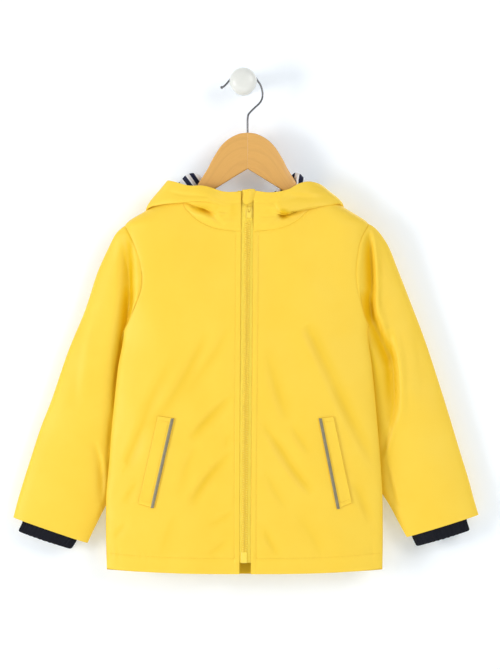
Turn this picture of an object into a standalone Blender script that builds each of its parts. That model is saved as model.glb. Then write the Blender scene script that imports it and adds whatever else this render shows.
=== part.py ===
"""A kids' hooded raincoat on a wooden hanger, hung by its hook on a round wall knob.

Metres, +Z up. The origin is on the wall, at the centre of the knob's back face. The wall is the
plane y = 0, the coat's front faces -Y, and "left" and "right" are the viewer's. Tables are in
millimetres: across from the coat's middle line, y from the wall, z from the knob's centre.
"""

import math

import bmesh
import bpy
import numpy as np
from mathutils import Matrix

MM = 0.001
SIDES = {"left": -1, "right": 1}

# Driving dimensions, in millimetres.
MIDDLE_X = 5.7        # the coat's middle line hangs this far beside the knob's centre
CLOTH = 1.6           # coated shell
LINING = 1.0          # striped jersey
RIB_CLOTH = 2.2       # double rib of the cuffs
TAPE = 1.0            # zip tape
GAP = 0.3             # between pieces at a seam
HEM_Z = -639.0        # the fronts' hem at the middle
HEM_SIDE_Z = -632.5   # the hem at the side seams
BACK_HEM_RISE = 2.0   # the back's hem is this much shorter
NECK_SIDE_Z = -144.2  # where neckline and shoulder seam meet
NECK_PART = 0.6088    # share of a panel's columns that lie along the neckline
TAPE_WIDTH = 13.0
TAPE_BEHIND = 0.9     # the tapes lie this far behind the fronts' cloth
TAPE_TOP_Z = -147.0
TAPE_TOP_Y = -57.6
TAPE_END_Z = -624.0
CUFF_SHOWS = 13.0     # how far the rib comes out of the sleeve
CUFF_HIDDEN = 16.0    # how far it runs up inside
RIBS = 30             # raised ribs round each cuff
RIB_HEIGHT = 0.5

PANEL_COLUMNS = 12
ARMHOLE_ROWS = 10     # a body panel's rows beside the armhole, and half of the sleeve's columns
SIDE_ROWS = 9         # its rows beside the side seam
ARMHOLE_PART = 0.31   # share of a panel's height that the armhole takes
HOOD_SAMPLES = 3      # steps between two sections of the hood
# Steps between the points of a section: seam, ridge, near the rise, rise, past it, sag, under
# layer, fold, over layer, edge.
PROFILE_STEPS = (1, 2, 1, 1, 2, 2, 1, 2, 3)


def table(columns, *rows):
    """A table as a dictionary: a column's name to the array of its values."""
    return dict(zip(columns.split(), np.array(rows, float).T))


# The body at each height: how far it reaches to either side of the middle line, where its middle
# plane is, how far front and back stand off that plane, and how wide the rounding at its edge is.
BODY = table(
    "z       left    right   middle  front  back   round",
    (-639.0, 182.9, 175.2, -46.0, 17.0, 12.0, 165.0),
    (-588.0, 184.2, 175.8, -46.0, 19.0, 14.0, 165.0),
    (-549.0, 184.2, 175.6, -45.5, 20.0, 14.5, 162.0),
    (-497.0, 180.3, 173.0, -45.5, 21.0, 15.0, 160.0),
    (-452.0, 176.9, 169.4, -45.0, 21.5, 15.0, 158.0),
    (-414.0, 173.2, 166.1, -44.5, 22.0, 15.0, 152.0),
    (-372.0, 168.6, 162.0, -44.0, 22.0, 14.5, 146.0),
    (-325.0, 161.3, 156.5, -43.0, 22.0, 14.0, 135.0),
    (-280.0, 163.2, 158.6, -42.0, 21.5, 13.5, 110.0),
    (-230.0, 164.0, 160.2, -41.0, 20.0, 13.0, 80.0),
    (-187.2, 159.4, 157.9, -40.3, 17.5, 12.0, 50.0),
    (-168.4, 133.4, 133.8, -40.0, 15.5, 11.5, 38.0),
    (-154.0, 107.4, 107.8, -40.0, 13.5, 11.0, 30.0),
    (-144.2, 86.5, 86.5, -40.0, 12.0, 10.5, 24.0),
    (-138.0, 80.0, 80.0, -40.0, 12.0, 10.5, 24.0),
)

SHOULDER_TIP_Z = {"left": -187.2, "right": -184.6}
UNDERARM_Z = {"left": -325.0, "right": -316.0}

# How far the armhole is cut in from the body's edge, from shoulder tip (0) to underarm (1).
ARMHOLE = table(
    "down  left  right",
    (0.00, 0.0, 0.0),
    (0.14, 13.0, 11.5),
    (0.35, 24.5, 18.5),
    (0.48, 27.0, 19.5),
    (0.64, 24.0, 16.6),
    (0.80, 14.0, 10.5),
    (0.92, 6.0, 5.0),
    (1.00, 0.0, 0.0),
)

FRONT_NECK = table(
    "across  z",
    (0.0, -195.5),
    (31.0, -193.2),
    (44.0, -190.6),
    (57.0, -185.4),
    (67.5, -178.5),
    (76.0, -170.0),
    (83.0, -160.0),
    (86.5, NECK_SIDE_Z),
)
BACK_NECK = table(
    "across  z",
    (0.0, -157.0),
    (30.0, -156.0),
    (60.0, -152.5),
    (86.5, NECK_SIDE_Z),
)

# The fronts' edges beside the zip, and the middle of the zip's chain, from neck to hem.
ZIP_LINE = table(
    "z       left   middle  right",
    (-639.0, -10.9, -3.6, 4.4),
    (-560.0, -10.9, -3.6, 4.7),
    (-450.0, -10.4, -2.7, 5.6),
    (-330.0, -9.6, -1.5, 6.6),
    (-195.0, -8.9, -0.2, 7.7),
    (-143.0, -8.6, 0.0, 7.8),
)

# Soft diagonal folds: from (across, z) to (across, z), how wide and how deep. Positive is a trough.
FRONT_FOLDS = table(
    "x0      z0      x1     z1      wide  deep",
    (-22.0, -400.0, -55.0, -442.0, 9.0, 2.4),
    (-26.0, -482.0, -74.0, -551.0, 10.0, 2.6),
    (-52.0, -322.0, -82.0, -386.0, 11.0, 1.8),
    (-112.0, -397.0, -146.0, -476.0, 12.0, 1.8),
    (-30.0, -318.0, -46.0, -356.0, 9.0, 1.4),
    (74.0, -316.0, 121.0, -406.0, 12.0, 2.2),
    (32.0, -464.0, 84.0, -536.0, 10.0, 2.4),
    (26.0, -345.0, 52.0, -437.0, 12.0, 1.8),
    (18.0, -570.0, 40.0, -617.0, 9.0, 1.8),
    (110.0, -392.0, 150.0, -484.0, 12.0, 1.8),
)
BACK_FOLDS = table(
    "x0      z0      x1     z1      wide  deep",
    (-30.0, -390.0, -74.0, -470.0, 14.0, 2.2),
    (28.0, -370.0, 66.0, -450.0, 14.0, 2.0),
    (-60.0, -505.0, -96.0, -590.0, 13.0, 2.0),
    (52.0, -500.0, 100.0, -585.0, 14.0, 2.2),
)
SLEEVE_FOLDS = {
    "left": table(
        "x0       z0      x1      z1      wide  deep",
        (-160.0, -214.0, -166.0, -300.0, 9.0, 3.0),
        (-196.0, -300.0, -186.0, -380.0, 12.0, 2.0),
        (-236.0, -405.0, -214.0, -470.0, 12.0, 1.8),
    ),
    "right": table(
        "x0      z0      x1     z1      wide  deep",
        (166.0, -205.0, 163.0, -300.0, 9.0, 3.0),
        (192.0, -352.0, 182.0, -410.0, 9.0, 3.0),
        (212.0, -300.0, 226.0, -400.0, 12.0, 1.8),
    ),
}

# A sleeve's sections below the armhole: its outer and inner edge, its middle plane, half its depth.
SLEEVE = {
    "left": table(
        "outer_x  outer_z  inner_x  inner_z  middle  deep",
        (-171.5, -197.5, -165.9, -333.0, -39.0, 13.0),
        (-181.0, -215.0, -166.5, -349.0, -35.5, 14.0),
        (-196.0, -248.0, -164.5, -372.0, -31.5, 15.0),
        (-212.4, -297.7, -162.0, -403.0, -29.0, 15.5),
        (-234.3, -350.6, -160.0, -440.0, -27.5, 15.5),
        (-255.3, -414.0, -160.0, -475.0, -27.0, 15.0),
        (-270.4, -457.6, -166.0, -506.0, -26.5, 14.5),
        (-285.4, -501.2, -176.0, -534.0, -26.5, 14.0),
        (-295.9, -533.7, -189.5, -561.0, -26.5, 13.5),
        (-301.5, -552.0, -201.0, -584.0, -26.5, 13.0),
        (-306.0, -567.4, -208.8, -601.0, -26.5, 12.5),
    ),
    "right": table(
        "outer_x  outer_z  inner_x  inner_z  middle  deep",
        (168.9, -192.8, 160.0, -325.0, -39.0, 13.0),
        (183.6, -213.8, 160.0, -344.0, -35.5, 14.0),
        (196.3, -244.8, 159.0, -370.0, -31.5, 15.0),
        (212.7, -286.7, 156.5, -402.0, -29.0, 15.5),
        (232.7, -339.7, 154.0, -438.0, -27.5, 15.5),
        (255.6, -414.0, 155.0, -474.0, -27.0, 15.0),
        (267.0, -452.0, 162.0, -504.0, -26.5, 14.5),
        (277.5, -487.0, 172.0, -530.0, -26.5, 14.0),
        (288.0, -519.0, 185.5, -552.5, -26.5, 13.5),
        (295.5, -546.0, 197.0, -574.0, -26.5, 13.0),
        (301.6, -564.0, 207.6, -593.3, -26.5, 12.5),
    ),
}
CUFF_ENDS = {
    # Outer and inner corner of the rib where it leaves the sleeve's hem.
    "left": ((-293.2, -572.1), (-223.3, -595.7)),
    "right": ((285.2, -570.4), (215.0, -591.4)),
}
CUFF_DEEP = 9.5

# The hood's sections, from the zip round to the middle of the back. Each starts at the neckline,
# rises, falls outwards to its fold and comes up again to the hood's open edge. ridge is how far
# the cloth below the rise stands out, and layers is how far apart the two layers are at the fold.
HOOD = {
    "left": table(
        "seam  rise_x rise_y rise_z  fold_x fold_y fold_z  edge_x edge_y edge_z  ridge layers",
        (8.9, 8.9, -60.5, -178.0, 8.7, -62.0, -161.0, 8.5, -61.5, -143.8, 0.0, 0.0),
        (31.0, 31.0, -60.5, -178.0, 31.0, -63.5, -161.0, 31.0, -61.5, -143.8, 0.0, 0.0),
        (56.0, 54.0, -57.5, -163.0, 57.0, -64.5, -158.0, 56.0, -60.5, -136.5, 4.0, 4.0),
        (76.0, 68.0, -53.0, -147.0, 87.0, -62.0, -158.0, 77.0, -58.0, -135.9, 2.0, 7.0),
        (83.2, 76.0, -47.5, -131.0, 114.0, -55.0, -160.0, 97.0, -51.0, -130.2, 0.0, 9.0),
    ),
    "right": table(
        "seam  rise_x rise_y rise_z  fold_x fold_y fold_z  edge_x edge_y edge_z  ridge layers",
        (8.0, 8.0, -60.5, -178.0, 8.0, -62.0, -161.0, 8.0, -61.5, -142.6, 0.0, 0.0),
        (31.0, 31.0, -60.5, -178.0, 31.0, -63.5, -163.0, 30.0, -61.5, -144.9, 0.0, 0.0),
        (56.0, 52.0, -58.0, -164.0, 48.0, -64.5, -168.0, 52.0, -60.5, -141.0, 2.0, 4.0),
        (76.0, 66.0, -53.0, -147.0, 78.0, -62.0, -166.5, 67.0, -58.0, -133.2, 2.0, 7.0),
        (83.2, 72.0, -47.5, -129.0, 104.0, -55.0, -161.0, 82.0, -51.0, -130.3, 0.0, 9.0),
    ),
}
HOOD_SIDE = {
    "left": (86.5, 80.0, -33.0, -123.0, 129.0, -38.0, -163.5, 105.0, -38.0, -130.0, 0.0, 9.0),
    "right": (86.5, 71.5, -33.0, -121.5, 126.0, -38.0, -161.5, 97.0, -38.0, -135.5, 0.0, 9.0),
}
HOOD_BEHIND = table(
    "seam  rise_x rise_y rise_z  fold_x fold_y fold_z  edge_x edge_y edge_z  ridge layers",
    (78.0, 67.0, -25.5, -120.5, 131.0, -17.0, -186.0, 104.0, -17.0, -140.0, 0.0, 9.0),
    (62.0, 53.0, -24.0, -134.0, 118.0, -15.5, -232.0, 88.0, -9.5, -156.0, 0.0, 9.0),
    (34.0, 31.0, -24.0, -147.0, 74.0, -15.5, -290.0, 50.0, -8.0, -176.0, 0.0, 9.0),
    (0.15, 0.15, -24.0, -150.0, 0.15, -15.5, -318.0, 0.15, -8.0, -184.0, 0.0, 9.0),
)
RISE_ROUNDING = 3.0    # half of how far apart the cloth's two runs are beside the rise
LINING_FIRST = 3       # the section from which the lining shows, round to the middle of the back
LINING_STEPS = (2, 8)  # the steps of a section between which it shows
UNDER_SAG = 5.0        # how far the under layer sags between rise and fold

# The pocket welts on the fronts: (across, z) of the strip's edge and of the pocket's mouth.
WELT = {
    "left": {
        "strip": ((-95.4, -437.8), (-121.7, -553.3)),
        "mouth": ((-115.7, -434.9), (-141.3, -548.0)),
    },
    "right": {
        "strip": ((92.2, -437.7), (115.6, -554.5)),
        "mouth": ((111.0, -436.0), (134.7, -546.7)),
    },
}
STRIP_WIDTH = 3.8
STRIP_CLOTH = 1.0

# The zip's hard pieces. The pull swings on its cross bar, inside the slider's bridge.
SLIDER_Z = -171.0
SLIDER_X = 2.0
SLIDER_SIZE = (9.6, 3.6, 15.0)
BRIDGE_WIDE = 1.7
BRIDGE_OPEN = (4.6, 2.9)    # along the zip, and out from the slider's face
BRIDGE_WALL = 1.3
PIVOT_Z = -166.0
PULL_WIDE = 5.6
PULL_THICK = 1.2
PULL_BAR = 1.4
PULL_WINDOW = (3.0, 4.2)
PULL_LONG = 12.5
BOX_SIZE = (7.6, 3.6, 14.6)
BOX_Z = -617.5
CHAIN_PROUD = 0.4           # the slider stands this far in front of the tapes
GUARD = {"left": -6.6, "right": 9.4, "top": -139.9, "bottom": -159.0, "y": -66.2}

# The hanger: the upper and the lower edge of one arm, from the middle outwards.
HANGER_MIDDLE_Y = -40.0
HANGER_TOP = table(
    "across  z      thick",
    (0.2, -66.3, 13.0),
    (10.0, -67.4, 13.0),
    (19.5, -71.5, 13.0),
    (33.0, -81.9, 13.0),
    (40.3, -92.3, 13.0),
    (46.8, -102.7, 13.0),
    (52.0, -113.1, 12.6),
    (58.5, -123.5, 12.0),
    (63.5, -131.5, 11.6),
    (70.0, -141.6, 10.6),
    (80.0, -151.2, 9.2),
    (107.4, -163.4, 9.0),
    (131.0, -175.6, 8.6),
    (139.0, -181.6, 8.2),
)
HANGER_BOTTOM = table(
    "across  z",
    (0.2, -113.4),
    (12.0, -120.6),
    (24.0, -128.0),
    (36.0, -135.4),
    (44.9, -141.0),
    (53.0, -146.0),
    (62.0, -151.6),
    (72.0, -157.8),
    (87.9, -167.0),
    (107.4, -178.2),
    (128.0, -189.4),
    (136.0, -190.4),
)
HANGER_ROUNDING = 2.0

# The hook's wire, from the wood to its tip: (x, z) from the knob's centre.
HOOK_WIRE = 2.8
HOOK_PATH = (
    (5.7, -65.9), (5.7, -54.0), (6.0, -44.5), (9.4, -38.6), (15.6, -33.0), (21.3, -25.4),
    (24.8, -15.4), (24.2, -6.0), (19.6, 3.2), (11.2, 11.4), (0.0, 14.3), (-11.0, 10.6),
    (-18.4, 2.0), (-22.6, -5.2), (-26.2, -7.6), (-29.6, -7.4),
)
HOOK_STEPS = 4

# The knob, turned about the line out of the wall: distance from the wall and radius.
KNOB = table(
    "out    radius",
    (0.0, 15.0),
    (3.0, 15.0),
    (4.2, 14.2),
    (6.0, 12.8),
    (24.0, 12.0),
    (42.0, 12.2),
    (45.0, 13.4),
    (47.0, 16.6),
    (50.0, 17.6),
    (55.0, 17.6),
    (59.0, 16.4),
    (62.0, 13.0),
    (63.6, 8.0),
    (64.2, 3.0),
)
KNOB_SEGMENTS = 28

FINISHES = {
    # base colour (linear), roughness, metallic
    "yellow_shell": ((0.93, 0.62, 0.035), 0.45, 0.0),
    "striped_jersey": ((0.75, 0.76, 0.78), 0.85, 0.0),
    "navy_rib": ((0.018, 0.018, 0.028), 0.85, 0.0),
    "reflective_grey": ((0.27, 0.24, 0.16), 0.4, 0.0),
    "yellow_tape": ((0.90, 0.58, 0.03), 0.7, 0.0),
    "yellow_plastic": ((0.90, 0.60, 0.04), 0.35, 0.0),
    "honey_wood": ((0.76, 0.43, 0.14), 0.45, 0.0),
    "steel": ((0.55, 0.55, 0.56), 0.3, 1.0),
    "white_knob": ((0.84, 0.86, 0.82), 0.2, 0.0),
}


# ---------------------------------------------------------------- curves and tables


def smooth(keys, values, at, within=False):
    """Smooth interpolation by cubic pieces; within keeps each piece between its two knots."""
    order = np.argsort(keys)
    keys = np.asarray(keys, float)[order]
    values = np.asarray(values, float)[order]
    slopes = np.gradient(values, keys)
    if within:
        steps = np.diff(values) / np.diff(keys)
        before, after = steps[:-1], steps[1:]
        most = np.where(before * after > 0, 2 * np.minimum(abs(before), abs(after)), 0.0)
        slopes[1:-1] = np.clip(slopes[1:-1], -most, most)
    at = np.clip(np.asarray(at, float), keys[0], keys[-1])
    low = np.clip(np.searchsorted(keys, at, side="right") - 1, 0, len(keys) - 2)
    span = keys[low + 1] - keys[low]
    t = (at - keys[low]) / span
    return (
        (2 * t**3 - 3 * t**2 + 1) * values[low]
        + (t**3 - 2 * t**2 + t) * span * slopes[low]
        + (3 * t**2 - 2 * t**3) * values[low + 1]
        + (t**3 - t**2) * span * slopes[low + 1]
    )


def body(column, z):
    """A value of the body's table at a height."""
    return np.interp(z, BODY["z"], BODY[column])


def through(points, steps):
    """A smooth line through points, with that many steps between two of them."""
    points = np.array(points, float)
    keys = np.arange(len(points))
    at = np.linspace(0, len(points) - 1, (len(points) - 1) * steps + 1)
    return np.stack([smooth(keys, points[:, k], at) for k in range(points.shape[1])], axis=1)


def smooth_rows(tables, at):
    """Smooth interpolation between tables of points: the points at a place between two of them."""
    flat = tables.reshape(len(tables), -1)
    keys = np.arange(len(tables))
    return np.array([float(smooth(keys, column, at)) for column in flat.T]).reshape(tables.shape[1:])


def stepped(points, steps):
    """A smooth line through points, with a number of steps for each piece between two of them."""
    run = np.concatenate([[0], np.cumsum(np.linalg.norm(np.diff(points, axis=0), axis=1))])
    at = [run[k] + (run[k + 1] - run[k]) * j / n for k, n in enumerate(steps) for j in range(n)]
    at.append(run[-1])
    return np.stack([smooth(run, column, at, within=True) for column in points.T], axis=1)


def along(points, shares):
    """Places on a polyline at shares of its length."""
    points = np.array(points, float)
    run = np.concatenate([[0], np.cumsum(np.linalg.norm(np.diff(points, axis=0), axis=1))])
    shares = np.asarray(shares, float) * run[-1]
    return np.stack([np.interp(shares, run, points[:, k]) for k in range(points.shape[1])], axis=1)


# ---------------------------------------------------------------- the body's surface


def fold_depth(folds, x, z):
    """How far the folds press the cloth in at a place: a soft trough round each fold's line."""
    total = 0.0
    for x0, z0, x1, z1, wide, deep in zip(*folds.values()):
        run = np.array((x1 - x0, z1 - z0))
        share = np.clip(((x - x0) * run[0] + (z - z0) * run[1]) / (run @ run), 0, 1)
        away = np.hypot(x - x0 - share * run[0], z - z0 - share * run[1])
        total = total + deep * np.exp(-((away / wide) ** 2))
    return total


def body_y(face, x, z, inset=0.0):
    """The body's y at (across, z), on its front or back, for its outer face or set in by the cloth."""
    side = "left" if x < 0 else "right"
    edge = body(side, z) - inset
    rounding = body("round", z) - inset
    share = np.clip((edge - abs(x)) / rounding, 0, 1)
    stand = (body(face, z) - inset) * (1 - (1 - share) ** 2) ** 0.55
    if face == "front":
        return body("middle", z) - stand - GAP / 2 + fold_depth(FRONT_FOLDS, x, z)
    return body("middle", z) + stand + GAP / 2 - fold_depth(BACK_FOLDS, x, z)


def armhole_places(side):
    """The armhole's (across, z) from shoulder tip to underarm, closer together at both ends."""
    tip_z, under_z = SHOULDER_TIP_Z[side], UNDERARM_Z[side]
    down = (1 - np.cos(np.linspace(0, math.pi, ARMHOLE_ROWS + 1))) / 2
    z = tip_z + down * (under_z - tip_z)
    return down, np.stack([body(side, z) - smooth(ARMHOLE["down"], ARMHOLE[side], down), z], axis=1)


def panel_outline(side, face):
    """The four edges of half a body panel in the (across, z) plane: middle, top, outer edge, hem."""
    neck = FRONT_NECK if face == "front" else BACK_NECK
    hem_rise = 0.0 if face == "front" else BACK_HEM_RISE
    columns = np.sin(np.linspace(0, math.pi / 2, PANEL_COLUMNS + 1))
    down, armhole = armhole_places(side)
    seam_share = np.linspace(0, 1, SIDE_ROWS + 1)[1:]
    rows = np.concatenate([ARMHOLE_PART * down, ARMHOLE_PART + (1 - ARMHOLE_PART) * seam_share])

    def start_x(z):
        """Where the panel begins: beside the zip, or at the back's middle line."""
        return SIDES[side] * np.interp(z, ZIP_LINE["z"], ZIP_LINE[side]) if face == "front" else 0.0

    neck_points = [(x, np.interp(x, neck["across"], neck["z"])) for x in neck["across"]]
    neck_points[0] = (start_x(neck["z"][0]), neck["z"][0])
    shoulder_z = np.linspace(NECK_SIDE_Z, SHOULDER_TIP_Z[side], 9)
    shoulder = [(body(side, z), z) for z in shoulder_z]
    top = np.array([
        along(neck_points, [u / NECK_PART])[0] if u <= NECK_PART
        else along(shoulder, [(u - NECK_PART) / (1 - NECK_PART)])[0]
        for u in columns
    ])

    seam_z = UNDERARM_Z[side] + seam_share * (HEM_SIDE_Z + hem_rise - UNDERARM_Z[side])
    outer = np.concatenate([armhole, [(body(side, z), z) for z in seam_z]])

    first, last = top[0][1], HEM_Z + hem_rise
    middle_z = first + rows * (last - first)
    middle = np.array([(start_x(z), z) for z in middle_z])
    hem_x = middle[-1][0] + columns * (outer[-1][0] - middle[-1][0])
    hem = np.array([(x, last + (outer[-1][1] - last) * (x / hem_x[-1]) ** 3) for x in hem_x])
    return columns, rows, middle, top, outer, hem


def panel_places(side, face):
    """The panel's grid in the (across, z) plane, spanned between its four edges."""
    columns, rows, middle, top, outer, hem = panel_outline(side, face)
    u, v = columns[None, :, None], rows[:, None, None]
    grid = (
        (1 - v) * top[None] + v * hem[None] + (1 - u) * middle[:, None] + u * outer[:, None]
        - (1 - u) * (1 - v) * top[0] - u * (1 - v) * top[-1]
        - (1 - u) * v * hem[0] - u * v * hem[-1]
    )
    # Near the edges the grid may not pass the body's own edge.
    for row in grid:
        for place in row:
            place[0] = min(place[0], body(side, place[1]))
    return grid


def panel_grid(side, face, inset):
    """Half a body panel's points, on its outer face or set in by the cloth."""
    sign = SIDES[side]
    points = []
    for row in panel_places(side, face):
        line = []
        for across, z in row:
            edge = body(side, z)
            x = sign * across * (edge - inset) / edge if across > 0.5 * edge else sign * across
            shift = inset if z > NECK_SIDE_Z - 1 and across > 0.98 * edge else 0.0
            line.append((x, body_y(face, x, z, inset), z - shift))
        points.append(line)
    return np.array(points)


# ---------------------------------------------------------------- walls


def to_metres(points):
    points = np.array(points, float)
    points[..., 0] += MIDDLE_X
    return points * MM


def runs_of(grid, axis):
    """The mean direction of the two steps that meet at each point; shorter where they bend."""
    step = np.diff(grid, axis=axis)
    step = step / np.maximum(np.linalg.norm(step, axis=2, keepdims=True), 1e-9)
    first, last = (np.take(step, [k], axis=axis) for k in (0, -1))
    before = np.concatenate([first, step], axis=axis)
    after = np.concatenate([step, last], axis=axis)
    return (before + after) / 2


def normals_of(grid):
    """The grid's normals, longer where its rows bend, so that a wall keeps its thickness there."""
    across, down = runs_of(grid, 1), runs_of(grid, 0)
    normal = np.cross(across, down)
    bend = np.clip(np.linalg.norm(across, axis=2, keepdims=True), 0.72, 1.0)
    return normal / np.maximum(np.linalg.norm(normal, axis=2, keepdims=True), 1e-9) / bend


def material(name):
    colour, roughness, metallic = FINISHES[name]
    found = bpy.data.materials.get(name)
    if found:
        return found
    made = bpy.data.materials.new(name)
    made.use_nodes = True
    shader = made.node_tree.nodes["Principled BSDF"]
    shader.inputs["Base Color"].default_value = (*colour, 1)
    shader.inputs["Roughness"].default_value = roughness
    shader.inputs["Metallic"].default_value = metallic
    return made


def node(name, points, faces, finish):
    """One solid as an object, its faces turned outwards."""
    mesh = bpy.data.meshes.new(name)
    mesh.from_pydata([tuple(p) for p in points], [], faces)
    work = bmesh.new()
    work.from_mesh(mesh)
    bmesh.ops.recalc_face_normals(work, faces=work.faces)
    work.to_mesh(mesh)
    work.free()
    mesh.shade_smooth()
    mesh.set_sharp_from_angle(angle=math.radians(40))
    mesh.materials.append(material(finish))
    made = bpy.data.objects.new(name, mesh)
    bpy.context.scene.collection.objects.link(made)
    return made


def wall(name, outer, inner, finish, closed=False):
    """A solid wall between two grids of one size. A closed one joins its last column to its first."""
    rows, columns = outer.shape[:2]
    count = rows * columns
    steps = columns if closed else columns - 1
    faces = []

    def at(layer, i, j):
        return layer * count + i * columns + j % columns

    for layer in (0, 1):
        for i in range(rows - 1):
            for j in range(steps):
                a, b = at(layer, i, j), at(layer, i, j + 1)
                c, d = at(layer, i + 1, j + 1), at(layer, i + 1, j)
                faces += [(a, b, c), (a, c, d)]
    for i in (0, rows - 1):
        for j in range(steps):
            a, b = at(0, i, j), at(0, i, j + 1)
            c, d = at(1, i, j + 1), at(1, i, j)
            faces += [(a, b, c), (a, c, d)]
    if not closed:
        for j in (0, columns - 1):
            for i in range(rows - 1):
                a, b = at(0, i, j), at(0, i + 1, j)
                c, d = at(1, i + 1, j), at(1, i, j)
                faces += [(a, b, c), (a, c, d)]
    points = to_metres(np.concatenate([outer.reshape(-1, 3), inner.reshape(-1, 3)]))
    return node(name, points, faces, finish)


def patch(name, corners, lift, thick, finish, steps=(8, 2), face="front"):
    """A wall lying on a body panel, between four (across, z) corners: top start, top end, foot."""
    (a, b), (c, d) = np.array(corners, float)
    outer, inner = [], []
    for i in range(steps[0] + 1):
        left = a + (c - a) * i / steps[0]
        right = b + (d - b) * i / steps[0]
        line = []
        for j in range(steps[1] + 1):
            x, z = left + (right - left) * j / steps[1]
            line.append((x, body_y(face, x, z), z))
        inner.append([(x, y - lift, z) for x, y, z in line])
        outer.append([(x, y - lift - thick, z) for x, y, z in line])
    return wall(name, np.array(outer), np.array(inner), finish)


# ---------------------------------------------------------------- the sewn pieces


def body_panels():
    """Two fronts, and a back whose halves are one piece."""
    for side in SIDES:
        outer, inner = panel_grid(side, "front", 0.0), panel_grid(side, "front", CLOTH)
        wall(f"front_{side}", outer, inner, "yellow_shell")
    halves = {
        (side, inset): panel_grid(side, "back", inset) for side in SIDES for inset in (0.0, CLOTH)
    }
    joined = [
        np.concatenate([halves["left", inset][:, :0:-1], halves["right", inset]], axis=1)
        for inset in (0.0, CLOTH)
    ]
    wall("back_panel", joined[0], joined[1], "yellow_shell")


def armhole_ring(side, inset):
    """The sleeve's first ring, on the armhole: down the front from shoulder to underarm, up the back."""
    sign = SIDES[side]
    _, places = armhole_places(side)
    ring = []
    for k in range(2 * ARMHOLE_ROWS):
        across, z = places[min(k, 2 * ARMHOLE_ROWS - k)]
        edge = body(side, z)
        x = sign * across * (edge - inset) / edge
        y = body_y("front" if k <= ARMHOLE_ROWS else "back", x, z, inset)
        if k in (0, ARMHOLE_ROWS):
            y = body("middle", z)
        ring.append((x + sign * 2 * GAP, y, z - inset * math.cos(math.pi * k / ARMHOLE_ROWS)))
    return ring


def sleeve_ring(side, row, inset):
    """A ring of the sleeve: a flat oval between its outer and inner edge."""
    sheet = SLEEVE[side]
    outer = np.array((sheet["outer_x"][row], sheet["outer_z"][row]))
    inner = np.array((sheet["inner_x"][row], sheet["inner_z"][row]))
    run = (inner - outer) / np.linalg.norm(inner - outer)
    outer, inner = outer + run * inset, inner - run * inset
    middle, deep = sheet["middle"][row], sheet["deep"][row] - inset
    bow = np.interp(row, (-1, 0, 2, 4), (20.0, 15.0, 6.0, 0.0)) * -SIDES[side]
    ring = []
    for k in range(2 * ARMHOLE_ROWS):
        turn = math.pi * k / ARMHOLE_ROWS
        down = (1 - math.cos(turn)) / 2
        x, z = outer + (inner - outer) * down
        x += bow * 4 * down * (1 - down)
        press = fold_depth(SLEEVE_FOLDS[side], x, z) * math.sin(turn)
        ring.append((x, middle - deep * math.sin(turn) + press, z))
    return ring


def sleeves():
    for side in SIDES:
        rows = range(len(SLEEVE[side]["deep"]))
        outer, inner = (
            np.array([armhole_ring(side, inset)] + [sleeve_ring(side, row, inset) for row in rows])
            for inset in (0.0, CLOTH)
        )
        wall(f"sleeve_{side}", outer, inner, "yellow_shell", closed=True)


def cuffs():
    """Rib tubes: ribs raised on the outer face over a plain inner one, with a rounded lower edge."""
    around = 2 * RIBS
    # place along the cuff, how wide it is against its mouth, how tall its ribs are
    rings = (
        (-CUFF_HIDDEN, 1.12, 0.0),
        (-3.0, 1.02, 1.0),
        (CUFF_SHOWS - 2.5, 1.0, 1.0),
        (CUFF_SHOWS, 0.97, 0.0),
    )
    for side in SIDES:
        outer_end, inner_end = np.array(CUFF_ENDS[side])
        centre, half = (outer_end + inner_end) / 2, (inner_end - outer_end) / 2
        wide = np.linalg.norm(half)
        run = half / wide
        out = np.array((run[1], -run[0]))
        out = out if out[1] < 0 else -out
        grids = []
        for inset, ribbed in ((0.0, 1.0), (RIB_CLOTH, 0.0)):
            rows = []
            for place, flare, tall in rings:
                row = []
                for k in range(around):
                    turn = 2 * math.pi * k / around
                    raised = ribbed * tall * RIB_HEIGHT * (k % 2)
                    reach = wide * flare - inset + raised
                    deep = CUFF_DEEP * min(flare, 1.06) - inset + raised
                    x, z = centre + out * place - run * reach * math.cos(turn)
                    row.append((x, -26.5 - deep * math.sin(turn), z))
                rows.append(row)
            grids.append(np.array(rows))
        wall(f"cuff_{side}", grids[0], grids[1], "navy_rib", closed=True)


def hood_sections(side):
    """The hood's sections as one table, from the zip round to the middle of the back."""
    parts = HOOD[side], HOOD_BEHIND
    return {
        name: np.concatenate([parts[0][name], [HOOD_SIDE[side][k]], parts[1][name]])
        for k, name in enumerate(parts[0])
    }


def section_points(sheet, k, behind):
    """The points of one section from beside its rise to the hood's edge."""
    rise, fold, edge = (
        np.array([sheet[f"{name}_{axis}"][k] for axis in "xyz"]) for name in ("rise", "fold", "edge")
    )
    apart = sheet["layers"][k] / 2
    if apart < 1:
        near, past = rise - (0, 0, 5), rise + (fold - rise) * 0.3
        return (
            near, rise, past, (2 * past + fold) / 3, (past + 2 * fold) / 3,
            fold, (fold + edge) / 2, edge,
        )
    out = np.array((0.2 * min(1, rise[0] / 40), 1, 0)) if behind else (fold - rise) * (1, 1, 0)
    out = out / np.linalg.norm(out)
    beside = out * RISE_ROUNDING
    drop = np.array((0, 0, RISE_ROUNDING))
    lift = np.array((0, 0, apart * 0.7))
    near, past = rise - beside - drop, rise + beside - drop
    under, over = fold - out * apart + lift, fold + out * apart + lift
    sag = (past + under) / 2 - (0, 0, UNDER_SAG)
    return near, rise, past, sag, under, fold, over, edge


def neckline(side, face):
    """The neckline's points on a body panel, from the middle outwards: across and z."""
    top = panel_outline(side, face)[3]
    return top[: int(np.sum(top[:, 1] <= NECK_SIDE_Z + 0.01))]


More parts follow.
